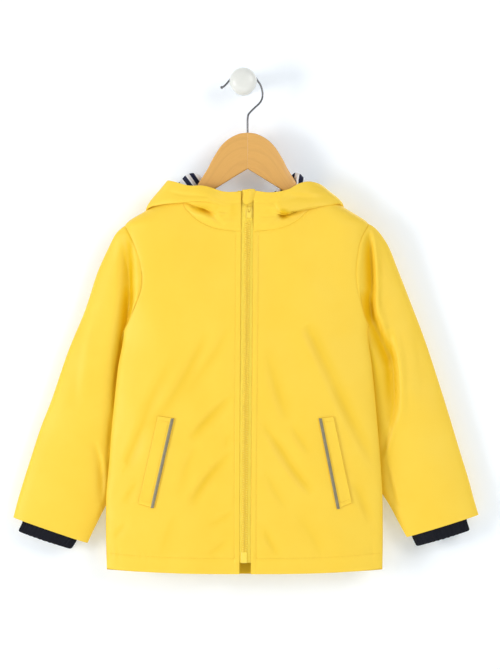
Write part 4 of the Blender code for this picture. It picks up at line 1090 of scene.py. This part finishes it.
def hood_surface(side):
    """The hood's points: a row for each place round the neck, a column along its section."""
    sign = SIDES[side]
    sheet = {name: np.concatenate([HOOD[side][name], HOOD_BEHIND[name]]) for name in HOOD_BEHIND}
    sheet["rise_x"][TURNING + 1:] -= BEHIND_SHIFT[side]
    count = len(sheet["seam"])
    points = np.array([section_points(sheet, k) for k in range(count)])
    rows = []
    for at in np.linspace(0, count - 1, (count - 1) * BETWEEN + 1):
        face = "back" if at > TURNING else "front"
        neck = neck_line(face)
        across = float(smooth(np.arange(count), sheet["seam"], at, within=True))
        seam_z = float(np.interp(across, neck[:, 0], neck[:, 1]))
        seam_y = float(cloth_y(face, sign * across, seam_z))
        seam = np.array((across * (1 - GAP / 2 / neck[-1, 0]), seam_y, seam_z + 0.1))
        near = smooth(np.arange(count), points, at)
        ridge = float(smooth(np.arange(count), sheet["ridge"], at, within=True))
        ridge = (seam + near[0]) / 2 - (0, ridge, 0)
        rows.append(stepped(np.array([seam, ridge, *near])) * (sign, 1, 1))
    return np.array(rows)


# %% [markdown]
# ## The hood's cloth and its lining
# The collar's front is crumpled where the zip's top holds it, so it gets creases of its own, which
# end where the rolled cloth hides them. The lining is the hood's form once more, moved in by the
# cloth's thickness, which keeps the two apart everywhere. Its stripes are laid flat over the front
# view: laid along the curved grid, they would bend with it.

# %% Hood and lining
COLLAR_CREASES = {
    "left": table(CREASE, """
        -87  -157  -66  -172  -42  -175.5  6  -2.6
        -48  -176  -35  -170  -30  -154    6  -2.8
        -80  -160  -62  -166  -46  -164    9  2.5
        -22  -182  -20  -165  -22  -148    6  0.9"""),
    "right": table(CREASE, """
        46  -157  46  -167  43  -178  -6   6
        42  -176  56  -171  74  -167  4    2
        11  -177  25  -179  41  -175  3.5  -1
        14  -145  15  -158  13  -172  3    1
        24  -172  26  -160  24  -147  4    0.9"""),
}
UNDER_ROLL = {"left": -157, "right": -165}      # the roll hides the collar above this height
ROLL_CREASES = {        # on the roll's outer face
    "left": table(CREASE, "-106 -144 -80 -148 -50 -151 6 1.2"),
    "right": table(CREASE, "44 -147 70 -150 104 -151 5 1.8"),
}
STRIPE_WAY = {"left": (0.81, 0.587, 148.2), "right": (0.99, -0.143, 17.4)}   # across, z, start
hoods, linings = {}, {}
for side, sign in SIDES.items():
    form = hood_surface(side)
    columns, rows = np.arange(form.shape[1]), np.arange(form.shape[0])
    outward = -normals_of(form) * sign
    collar = unit(columns / 4) * unit((RISE + 12 - columns) / 10)
    front = unit((TURNING * BETWEEN + 4 - rows) / 14)
    x, z = form[..., 0], form[..., 2]
    form[..., 1] += pressed(COLLAR_CREASES[side], x, z) * collar * front[:, None]
    outer = unit((columns - OUTSIDE) / 5) * unit((columns[-1] - columns) / 6)
    form[..., 1] += pressed(ROLL_CREASES[side], x, z) * outer * front[:, None]
    loose = unit(columns / 12) * unit((len(rows) - 1 - rows) / 8)[:, None]
    form -= outward * (waves(x + form[..., 1], z, 31 + sign, 0.4) * loose)[..., None]
    from_seam = np.linalg.norm(form - form[:, :1], axis=2)
    from_middle = np.linalg.norm(form - form[-1:], axis=2)
    from_edge = np.linalg.norm(form - form[:, -1:], axis=2)
    dip = 0.5 * np.exp(-from_seam / 1.6) + 0.6 * np.exp(-from_middle / 1.4)
    dip += 0.45 * hill(from_edge - HOOD_STITCH, 1.1) - 0.3 * step_down(from_edge, HOOD_STITCH)
    form -= outward * dip[..., None]
    piece = shell(f"hood_{side}_cloth", form, yellow_cloth, side=-sign)
    # painted shade: the collar is painted a darker yellow in its creases, below the roll
    paint_fold_shade(piece, lambda x, z: 0.3 * pressed(COLLAR_CREASES[side], x, z)
               * unit((UNDER_ROLL[side] - z) / 4))
    hoods[side] = dress(piece, "yellow_shell", f"hood_{side}")
    part = (slice(LINING_ROW, None), slice(4, SAG + 1))
    near = form[part] - outward[part] * (SHELL + 0.5)
    piece = shell(f"hood_lining_{side}_jersey", near, striped_jersey, thick=0.7, side=-sign,
                  straight=STRIPE_WAY[side])
    linings[side] = dress(piece, "striped_jersey", f"hood_lining_{side}")

# %% [markdown]
# ## Pocket welts and reflective strips
# A welt is a folded band sewn over a slanted pocket opening. It lies on the front, so its points
# are the front's own points, moved out by the cloth's thickness, and it follows every crease. Along
# its inner edge runs a narrow strip of reflective film.

# %% Welts and strips
WELT = {
    "left": {"strip": ((-95.4, -437.8), (-121.7, -553.3)),
             "mouth": ((-115.7, -434.9), (-141.3, -548.0))},
    "right": {"strip": ((92.2, -437.7), (115.6, -554.5)),
              "mouth": ((111.0, -436.0), (134.7, -546.7))},
}
WELT_CLOTH, STRIP_WIDTH, STRIP_FILM = 1.3, 3.8, 0.8
WELT_TACKS = (0.045, 0.955)     # where its ends are stitched down, as shares of its length


def on_front(corners, steps, lift, thick):
    """A patch's outer face between four corners (two above, two below), lying on the front."""
    (a, b), (c, d) = np.array(corners, float)
    down, over = (np.linspace(0, 1, n)[..., None] for n in steps)
    down, over = down[:, None], over[None]
    plane = (a * (1 - over) + b * over) * (1 - down) + (c * (1 - over) + d * over) * down
    x, z = plane[..., 0], plane[..., 1]
    return np.stack([x, cloth_y("front", x, z) - lift - thick, z], axis=2)


welts, strips = {}, {}
for side, sign in SIDES.items():
    (top, foot), (mouth_top, mouth_foot) = WELT[side]["strip"], WELT[side]["mouth"]
    grid = on_front(((top, mouth_top), (foot, mouth_foot)), (90, 22), GAP, WELT_CLOTH)
    over = np.linspace(0, 1, 22)
    down = np.linspace(0, 1, 90)[:, None]
    grid[..., 1] += 0.2 * hill(over - 0.3, 0.06) - 0.7 * unit((over - 0.5) / 0.5) ** 2
    grid[..., 1] += 0.15 * sum(hill(down - at, 0.012) for at in WELT_TACKS)
    piece = shell(f"pocket_welt_{side}_cloth", grid, yellow_cloth, thick=WELT_CLOTH, side=-sign,
                  rim=0.6)
    welts[side] = dress(piece, "yellow_shell", f"pocket_welt_{side}")
    shift = np.array((sign * STRIP_WIDTH, 0.0))
    grid = on_front(((top, top + shift), (foot, foot + shift)), (90, 9), 1.8, STRIP_FILM)
    grid[..., 1] -= 0.5 * np.sin(np.linspace(0, math.pi, 9))
    piece = shell(f"reflective_strip_{side}_film", grid, grey_strip, thick=STRIP_FILM, side=-sign)
    strips[side] = dress(piece, "reflective_grey", f"reflective_strip_{side}")

# %% [markdown]
# ## The zip
# A moulded zip is two woven tapes, a row of teeth on each and a slider that presses the rows into
# each other. The tapes run behind the fronts' edges and up inside the collar, and a small turned
# flap guards the chin. The tapes are grids like the other cloth, sunk a little beside the teeth.

# %% Tapes and guard
TAPE_TOP = (-142.8, -59.5)      # z and y of the tapes' upper ends
TAPE_END_Z, TAPE_BEHIND = -624.0, 1.1
TAPE_COLUMNS = np.array((0, 0.4, 1.2, 2.2, 3.2, 4.2, 6, 8, 10, 11.6, 12.4))
TEETH_TOP_Z = -182


def tape_y(x, z):
    """The front face of the tapes, just behind the fronts' and the hood's cloth."""
    x, z = np.broadcast_arrays(np.asarray(x, float), np.asarray(z, float))
    neck_z = FRONT_NECK["z"][0]
    neck_y = body_y("front", x, np.full(z.shape, neck_z)) + TAPE_BEHIND
    above = neck_y + (z - neck_z) * (TAPE_TOP[1] - neck_y) / (TAPE_TOP[0] - neck_z)
    return np.where(z < neck_z, body_y("front", x, np.minimum(z, neck_z)) + TAPE_BEHIND, above)


def painted_teeth_shade(x, z):
    """Painted shade on a tape: a darker band under its teeth, which shows between them."""
    return 0.6 * step_down(abs(x - zip_x("middle", z)), 3.5, 0.3) * (z < TEETH_TOP_Z)


for side, sign in SIDES.items():
    z = np.linspace(TAPE_TOP[0], TAPE_END_Z, 240)[:, None]
    x = zip_x("middle", z) + sign * (GAP + TAPE_COLUMNS)
    y = tape_y(x, z) + 0.12 * np.sin(z / 9 + sign) - 0.35 * step_down(TAPE_COLUMNS, 2.4, 0.4)
    y = y - 0.95 * step_down(TAPE_COLUMNS, 7.2, 0.5)
    grid = np.stack([x, y, np.broadcast_to(z, x.shape)], axis=2)
    # painted shade: the tapes are painted a darker yellow under the teeth
    piece = paint_fold_shade(shell(f"zip_tape_{side}_twill", grid, yellow_tape, thick=0.8, side=-sign),
                       painted_teeth_shade)
    dress(piece, "yellow_tape", f"zip_tape_{side}")

share = np.linspace(0, 1, 34)[:, None]
over = np.linspace(0, 1, 26)[None, :]
left, right = -6.8 + 2.2 * share + 1.2 * np.sin(6 * share), 9.6 - 3.6 * share**2
x = left + (right - left) * over
z = -141.3 - 18.5 * share - 0.6 * np.sin(5 * over + 1) + 1.6 * (2 * over - 1) ** 2 * share
y = -66.0 + 3.3 * unit((over - 0.45) / 0.55) ** 1.6 + 0.25 * np.sin(3.1 * over + 2 * share)
y = y + 0.4 * np.exp(-over / 0.05) + 0.5 * share**2
guard = shell("zip_guard_cloth", np.stack([x, y, z], axis=2), yellow_cloth, thick=1.1, side=-1,
              rim=0.6)
dress(guard, "yellow_shell", "zip_guard")

# %% [markdown]
# ## The zip's teeth
# The teeth of the two sides take turns, 3 mm apart on each side. One tooth is modelled as a rounded
# block with a narrow neck, and copied in mesh code along the zip's line, as a mould repeats its
# cavity. An Array modifier along a curve would bend each tooth as well.

# %% Teeth
def many(name, template, faces, frames, material):
    """One mesh with a copy of a template at each frame: its place and its axes' directions."""
    points = np.concatenate([spot + template @ np.array(axes) for spot, *axes in frames])
    count = len(template)
    all_faces = [tuple(i + k * count for i in f) for k in range(len(frames)) for f in faces]
    made = new_object(name, to_metres(points), all_faces, material)
    print(f"{name}: {len(frames)} pieces")
    return made


def rounded_block(outline, levels):
    """A template: an outline in (x, z), drawn in by a share at each level of y, closed at both
    ends."""
    outline = np.array(outline, float)
    middle = outline.mean(0)
    points, faces = [], []
    for y, keep in levels:
        points += [((x - middle[0]) * keep + middle[0], y, (z - middle[1]) * keep + middle[1])
                   for x, z in outline]
    n = len(outline)
    for k in range(len(levels) - 1):
        faces += [(k * n + i, k * n + (i + 1) % n, (k + 1) * n + (i + 1) % n, (k + 1) * n + i)
                  for i in range(n)]
    faces += [tuple(range(n))[::-1], tuple(range((len(levels) - 1) * n, len(levels) * n))]
    return np.array(points), faces


TOOTH = (   # a rounded root on the tape, a narrow neck and a small head that locks
    (-3.4, -0.6), (-3.0, -0.85), (-1.7, -0.85), (-1.1, -0.5), (-0.3, -0.35), (0.5, -0.5),
    (1.0, -0.45), (1.2, -0.2), (1.2, 0.2), (1.0, 0.45), (0.5, 0.5), (-0.3, 0.35), (-1.1, 0.5),
    (-1.7, 0.85), (-3.0, 0.85), (-3.4, 0.6))
TOOTH_LEVELS = ((0.9, 1.0), (-0.9, 1.0), (-1.25, 0.86), (-1.4, 0.55))
PITCH, FIRST_TOOTH_Z, LAST_TOOTH_Z, TOOTH_LIFT = 3.0, -183.0, -610.0, 0.85
template, faces = rounded_block(TOOTH, TOOTH_LEVELS)
for side, sign in SIDES.items():
    frames = []
    for z in np.arange(FIRST_TOOTH_Z - (sign > 0) * PITCH / 2, LAST_TOOTH_Z, -PITCH):
        x = float(zip_x("middle", z))
        spot = (x, float(tape_y(x, z)) - TOOTH_LIFT, z)
        frames.append((spot, (-sign, 0, 0), (0, 1, 0), (0, 0, 1)))
    turned = [f[::-sign] for f in faces]
    piece = many(f"zip_teeth_{side}", template, turned, frames, yellow_plastic)
    dress(piece, "yellow_plastic")

# %% [markdown]
# ## Sewing
# The rows of stitches at the hems, beside the zip and on the welts are real: short capsules of
# thread, about 3 mm each, sunk a little into the cloth. They are placed with the same functions
# that shape the cloth, so they lie in its stitch groove and follow the creases. A row of stitches
# drawn as bump would look right from the front only.

# %% Stitches
STITCH_LONG, STITCH_RADIUS, STITCH_SINK = 2.8, 0.33, 0.05


def capsule(length, radius):
    """A template along X: rings of six points that close to a rounded end."""
    places = np.array((-0.5, -0.46, -0.36, 0, 0.36, 0.46, 0.5)) * length
    sizes = np.array((0.15, 0.7, 1, 0.92, 1, 0.7, 0.15)) * radius
    turn = np.linspace(0, 2 * math.pi, 6, endpoint=False)
    points = [(x, r * math.cos(t), r * math.sin(t)) for x, r in zip(places, sizes) for t in turn]
    faces = [(k * 6 + i, k * 6 + (i + 1) % 6, (k + 1) * 6 + (i + 1) % 6, (k + 1) * 6 + i)
             for k in range(6) for i in range(6)]
    return np.array(points), faces + [tuple(range(6))[::-1], tuple(range(36, 42))]


def stitch_frames(line, pitch=3.5):
    """Frames for stitches along a line of points on cloth; each lies along the line."""
    run = arc(line)
    count = int(run[-1] / pitch)
    spots = along(line, (np.arange(count) + 0.5) / count)
    ahead = along(line, np.minimum((np.arange(count) + 0.7) / count, 1))
    made = []
    for spot, to in zip(spots, ahead):
        x_axis = (to - spot) / np.linalg.norm(to - spot)
        up = np.cross(x_axis, (0, 1, 0))
        up = up / np.linalg.norm(up)
        made.append((spot + np.array((0, STITCH_SINK, 0)), x_axis, np.cross(up, x_axis), up))
    return made


def line_on(face, x, z, lift=0.0):
    """A line of points on the front's or the back's cloth, with its hem and zip edge."""
    x, z = np.broadcast_arrays(np.asarray(x, float), np.asarray(z, float))
    y = stitched_y(face, x, z, np.full(x.shape, FAR), np.full(x.shape, FAR))
    return np.stack([x, y + lift * (1 if face == "front" else -1), z], axis=1)


def hem_z(face, across, half):
    """The hem's z at a place across, for a half that ends at that width."""
    return HEM_Z + HEM_RISE[face] + (HEM_SIDE_Z - HEM_Z) * (across / half) ** 3


frames = []
for side, sign in SIDES.items():
    z = np.linspace(-200, HEM_Z + HEM_STITCH, 300)
    frames += stitch_frames(line_on("front", sign * (sign * zip_x(side, z) + ZIP_STITCH), z))
    half = float(body(side, HEM_SIDE_Z))
    for face, first in (("front", 10), ("back", 0)):
        across = np.linspace(first, half - 3, 200)
        z = hem_z(face, across, half) + HEM_STITCH
        frames += stitch_frames(line_on(face, sign * across, z))
    (top, foot), (mouth_top, mouth_foot) = (np.array(WELT[side][k]) for k in ("strip", "mouth"))
    for share in WELT_TACKS:
        a, b = top + (foot - top) * share, mouth_top + (mouth_foot - mouth_top) * share
        a = a + (b - a) * 0.24
        spots = a + (b - a) * np.linspace(0, 0.92, 30)[:, None]
        frames += stitch_frames(line_on("front", spots[:, 0], spots[:, 1], -1.75), pitch=2.9)
    spots = top + (mouth_top - top) * 0.3 + (foot - top) * np.linspace(0.05, 0.95, 120)[:, None]
    frames += stitch_frames(line_on("front", spots[:, 0], spots[:, 1], -1.6), pitch=3.1)
stitches = many("stitches", *capsule(STITCH_LONG, STITCH_RADIUS), frames, thread)
dress(stitches, "yellow_shell")

# %% [markdown]
# ## The hanger
# The hanger is sawn from a flat board and joined in the middle, so it is a loft of rounded
# rectangles along each arm, with a fine joint left between the halves. Both arms come from the
# same sizes, one of them mirrored, as if sawn with one template.

# %% Hanger
HANGER_MIDDLE_Y, HANGER_ROUNDING = -40.0, 2.0
OTHER_GRAIN = 300      # moves the right half's wood grain, so that the halves differ
HANGER_TOP = table("across z thick", """
    0.04   -66.3   13
    10     -67.4   13
    19.5   -71.3   13
    26.7   -75.9   13
    33     -81.7   13
    37     -86.7   13
    40.6   -92.3   13
    46.8   -102.7  13
    52     -113.1  12.6
    58.5   -123.5  12
    63.5   -131.5  11.6
    70     -141.6  10.6
    80     -151.2  9.2
    107.4  -163.4  9
    131    -175.6  8.6
    139    -181.6  8.2""")
HANGER_BOTTOM = table("across z", """
    0.04   -113.4
    12     -120.6
    24     -128
    36     -135.4
    44.9   -141
    53     -146
    62     -151.6
    72     -157.8
    87.9   -167
    107.4  -178.2
    128    -189.4
    136    -190.4""")


def tube(name, rings, material, uv, flip=False):
    """A tube through rings of points, with flat ends; one column is doubled for its UV seam."""
    rings = np.concatenate([rings, rings[:, :1]], axis=1)
    rows, columns = rings.shape[:2]
    ids = np.arange(rows * columns).reshape(rows, columns)
    faces = np.stack([ids[:-1, :-1], ids[:-1, 1:], ids[1:, 1:], ids[1:, :-1]], axis=2)
    faces = [tuple(map(int, f)) for f in faces.reshape(-1, 4)]
    faces += [tuple(map(int, ids[0, -2::-1])), tuple(map(int, ids[-1, :-1]))]
    if flip:
        faces = [f[::-1] for f in faces]
    uv = np.reshape(uv, (-1, 2)) * MM
    return new_object(name, rings.reshape(-1, 3) * MM, faces, material, uv)


def rounded_section(low, high, half):
    """A rectangle with rounded corners: how far down the arm and how deep its points lie."""
    corner = np.linspace(0, math.pi / 2, 5)
    down = HANGER_ROUNDING * (1 - np.sin(corner))
    deep = HANGER_ROUNDING * (1 - np.cos(corner))
    return np.concatenate([
        np.stack([low + down, -half + deep], axis=1)[::-1],
        np.stack([high - down, -half + deep], axis=1),
        np.stack([high - down, half - deep], axis=1)[::-1],
        np.stack([low + down, half - deep], axis=1)])


shares = np.concatenate([(0, 0.002, 0.006), np.linspace(0.012, 0.985, 90), (0.992, 0.997, 1.0)])
tops, feet = (
    along(through(np.stack([edge["across"], edge["z"]], axis=1), 8), shares)
    for edge in (HANGER_TOP, HANGER_BOTTOM))
for side, sign in SIDES.items():
    rings, uv, run = [], [], arc((tops + feet) / 2)
    for k, ((x0, z0), (x1, z1)) in enumerate(zip(tops, feet)):
        half = float(np.interp(x0, HANGER_TOP["across"], HANGER_TOP["thick"])) / 2
        tall = math.hypot(x1 - x0, z1 - z0)
        draw_in = 0.05 * math.exp(-run[k] / 0.4) + 1.6 * math.exp(-(run[-1] - run[k]) / 1.0)
        down, deep = rounded_section(draw_in, tall - draw_in, half - draw_in).T
        x = sign * (x0 + (x1 - x0) * down / tall) + MIDDLE_X
        rings.append(np.stack([x, HANGER_MIDDLE_Y + deep, z0 + (z1 - z0) * down / tall], axis=1))
        grain = np.stack([np.full(len(down), run[k] + OTHER_GRAIN * (sign > 0)), down], axis=1)
        uv.append(np.concatenate([grain, grain[:1]]))
    piece = tube(f"hanger_{side}_wood", np.array(rings), honey_wood, uv, flip=sign < 0)
    dress(piece, "honey_wood", f"hanger_{side}")

# %% [markdown]
# ## The hook and the knob
# The hook is a bent wire: a round section swept along a smooth line, with its tip melted to a small
# ball. The knob is turned on a lathe, so a profile is carried round its axis. Curve objects with a
# bevel could do both, but as plain rings they get exact ends and UV coordinates in metres.

# %% Hook and knob
HOOK_PATH = (
    (5.7, -65.9), (5.6, -54.0), (5.7, -48.7), (6.6, -43.0), (9.0, -39.6), (14.9, -33.6),
    (20.6, -28.4), (24.0, -23.2), (25.2, -17.5), (24.7, -11.2), (22.5, -4.2), (18.7, 1.6),
    (15.2, 6.8), (9.4, 12.0), (0.0, 14.3), (-11.0, 10.6), (-18.2, 1.8), (-22.0, -2.8),
    (-26.0, -6.4), (-29.7, -7.6),
)
HOOK_WIRE, BALL, BALL_BACK = 2.5, 1.95, 1.7     # the ball's radius; its middle before the end
line = through([(x, HANGER_MIDDLE_Y, z) for x, z in HOOK_PATH], 10)
run = arc(line)
ahead = np.gradient(line, axis=0)
ahead /= np.linalg.norm(ahead, axis=1, keepdims=True)
turn = np.linspace(0, 2 * math.pi, 24, endpoint=False)
to_end = run[-1] - run
ball = np.sqrt(np.clip(BALL**2 - (to_end - BALL_BACK) ** 2, 0.04, None))
ball = np.where(to_end < 2 * BALL_BACK, ball, 0)
radius = np.maximum(np.where(to_end < BALL_BACK, 0, HOOK_WIRE / 2), ball)
beside = np.cross(ahead, (0.0, 1.0, 0.0))
rings = line[:, None] + radius[:, None, None] * (
    np.cos(turn)[:, None] * beside[:, None] + np.sin(turn)[:, None] * np.array((0, 1, 0)))
uv = np.stack(np.broadcast_arrays(run[:, None], np.linspace(0, 8.8, 25)[None, :]), axis=2)
dress(tube("hanger_hook_wire", rings, steel_wire, uv, flip=True), "steel", "hanger_hook")

KNOB = table("out radius", """
    0     15
    3     15
    4.2   14.2
    6     12.8
    24    12
    42    12.2
    45    13.4
    47    16.6
    50    17.6
    55    17.6
    59    16.4
    62    13
    63.6  8
    64.2  0.3""")
profile = through(np.stack([KNOB["out"], KNOB["radius"]], axis=1), 6)
turn = np.linspace(0, 2 * math.pi, 96, endpoint=False)
rings = np.stack(np.broadcast_arrays(
    profile[:, 1:] * np.cos(turn), -profile[:, :1], profile[:, 1:] * np.sin(turn)), axis=2)
uv = np.stack(np.broadcast_arrays(arc(profile)[:, None], np.linspace(0, 110, 97)[None, :]), axis=2)
dress(tube("wall_knob_china", rings, white_china, uv), "white_knob", "wall_knob")

# %% [markdown]
# ## Carried-over pieces
# The slider, its pull and the retainer box are small mouldings whose solids already have their true
# shape, so they stay and only get the plastic's finish.

# %% Moulded pieces
for name in ("zip_slider", "zip_pull", "zip_box"):
    for place_in_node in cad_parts[name].material_slots:
        place_in_node.material = yellow_plastic

# %% [markdown]
# ## A loop over the sides
# The loop below goes over both sides and does nothing.


for side in SIDES:
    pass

# %% [markdown]
# ## Wall and floor
# The wall is a plain white board with a faint, cool painted glow of its own, which lightens the
# shadows on it, cools their tone and keeps it bright. It hides its back from the camera with the
# Backfacing output and lets light through from behind, so that a view from behind sees the
# coat's back.

# %% Wall and floor
def board(name, corners, colour, see_through_and_glowing):
    """A stage board of one face; the wall's kind has an invisible back and a faint, cool painted
    glow.
    """
    made, tree, shader = new_material(name, 0.9)
    speck = noise(tree, object_spot(tree), 3.0)
    deep = [c * 0.985 for c in colour]
    fill(tree, shader, {"Base Color": blend(tree, speck, (*colour, 1), (*deep, 1))})
    if see_through_and_glowing:
        # painted light: a faint, cool glow that lightens the wall's shadows and cools their tone
        fill(tree, shader, {"Emission Color": (0.34, 0.66, 1, 1), "Emission Strength": 0.16})
        clear = put(tree, "BsdfTransparent").outputs[0]
        rays = put(tree, "LightPath").outputs["Is Shadow Ray"]
        hidden = calc(tree, "MAXIMUM", put(tree, "NewGeometry").outputs["Backfacing"], rays)
        mixed = put(tree, "MixShader", {0: hidden, 1: shader.outputs[0], 2: clear}).outputs[0]
        fill(tree, tree.nodes["Material Output"], {"Surface": mixed})
    new_object(name, corners, [(0, 1, 2, 3)], made)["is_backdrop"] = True


WALL_Y, FLOOR_Z = 0.0006, -0.95
board("stage_wall", ((-4, WALL_Y, FLOOR_Z), (4, WALL_Y, FLOOR_Z), (4, WALL_Y, 3), (-4, WALL_Y, 3)),
      (0.95, 0.95, 0.955), True)
board("stage_floor", ((-6, -6, FLOOR_Z), (6, -6, FLOOR_Z), (6, 6, FLOOR_Z), (-6, 6, FLOOR_Z)),
      (0.88, 0.88, 0.87), False)

# %% [markdown]
# ## Lights, world and camera
# A large soft light from the left gives the cloth its shape and a soft shadow on the wall; a weaker
# one from the right opens the shadows, and a third lights the back for views from behind. The
# camera stands far off with a long lens, so that the coat shows hardly any perspective.

# %% Lights, world and camera
def soft_light(name, spot, towards, size, power, colour=(1, 1, 1)):
    light = bpy.data.lights.new(name, "AREA")
    light.shape, light.size, light.size_y = "RECTANGLE", size[0], size[1]
    light.energy, light.color = power, colour
    made = bpy.data.objects.new(name, light)
    made.location = spot
    made.rotation_euler = (Vector(towards) - Vector(spot)).to_track_quat("-Z", "Y").to_euler()
    bpy.context.scene.collection.objects.link(made)


MIDDLE = (0.009, -0.04, -0.33)
soft_light("key_light", (-2.35, -1.95, -0.38), MIDDLE, (0.8, 1.1), 33, (1.0, 0.99, 0.975))
soft_light("fill_light", (1.5, -2.4, 0.6), MIDDLE, (1.2, 1.2), 20)
soft_light("back_light", (0.8, 2.4, 0.9), MIDDLE, (1.6, 1.6), 22)
world = bpy.data.worlds.new("studio")
world.use_nodes = True
background = world.node_tree.nodes["Background"]
fill(world.node_tree, background, {0: (1.0, 1.0, 1.0, 1), 1: 0.56})
bpy.context.scene.world = world
bpy.context.scene.view_settings.view_transform = "Standard"

FRAME_TALL, DISTANCE = 0.8690, 4.2      # what the view takes in at the coat, in metres
camera = bpy.data.cameras.new("camera")
camera.sensor_fit, camera.sensor_height = "VERTICAL", 24.0
camera.lens = camera.sensor_height * DISTANCE / FRAME_TALL
taker = bpy.data.objects.new("camera", camera)
taker.location = (0.0088, -0.05 - DISTANCE, -0.3289)
taker.rotation_euler = (math.pi / 2, 0, 0)
bpy.context.scene.collection.objects.link(taker)
bpy.context.scene.camera = taker

# %% [markdown]
# ## Measure and finish
# The dressed coat's box is measured, and how far it stands out of its solids' box is printed.

# %% Finish
new_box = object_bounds()
growth = np.array([list(p) for p in new_box]) - np.array([list(p) for p in cad_box])
print("grown by", growth.round(4).tolist())
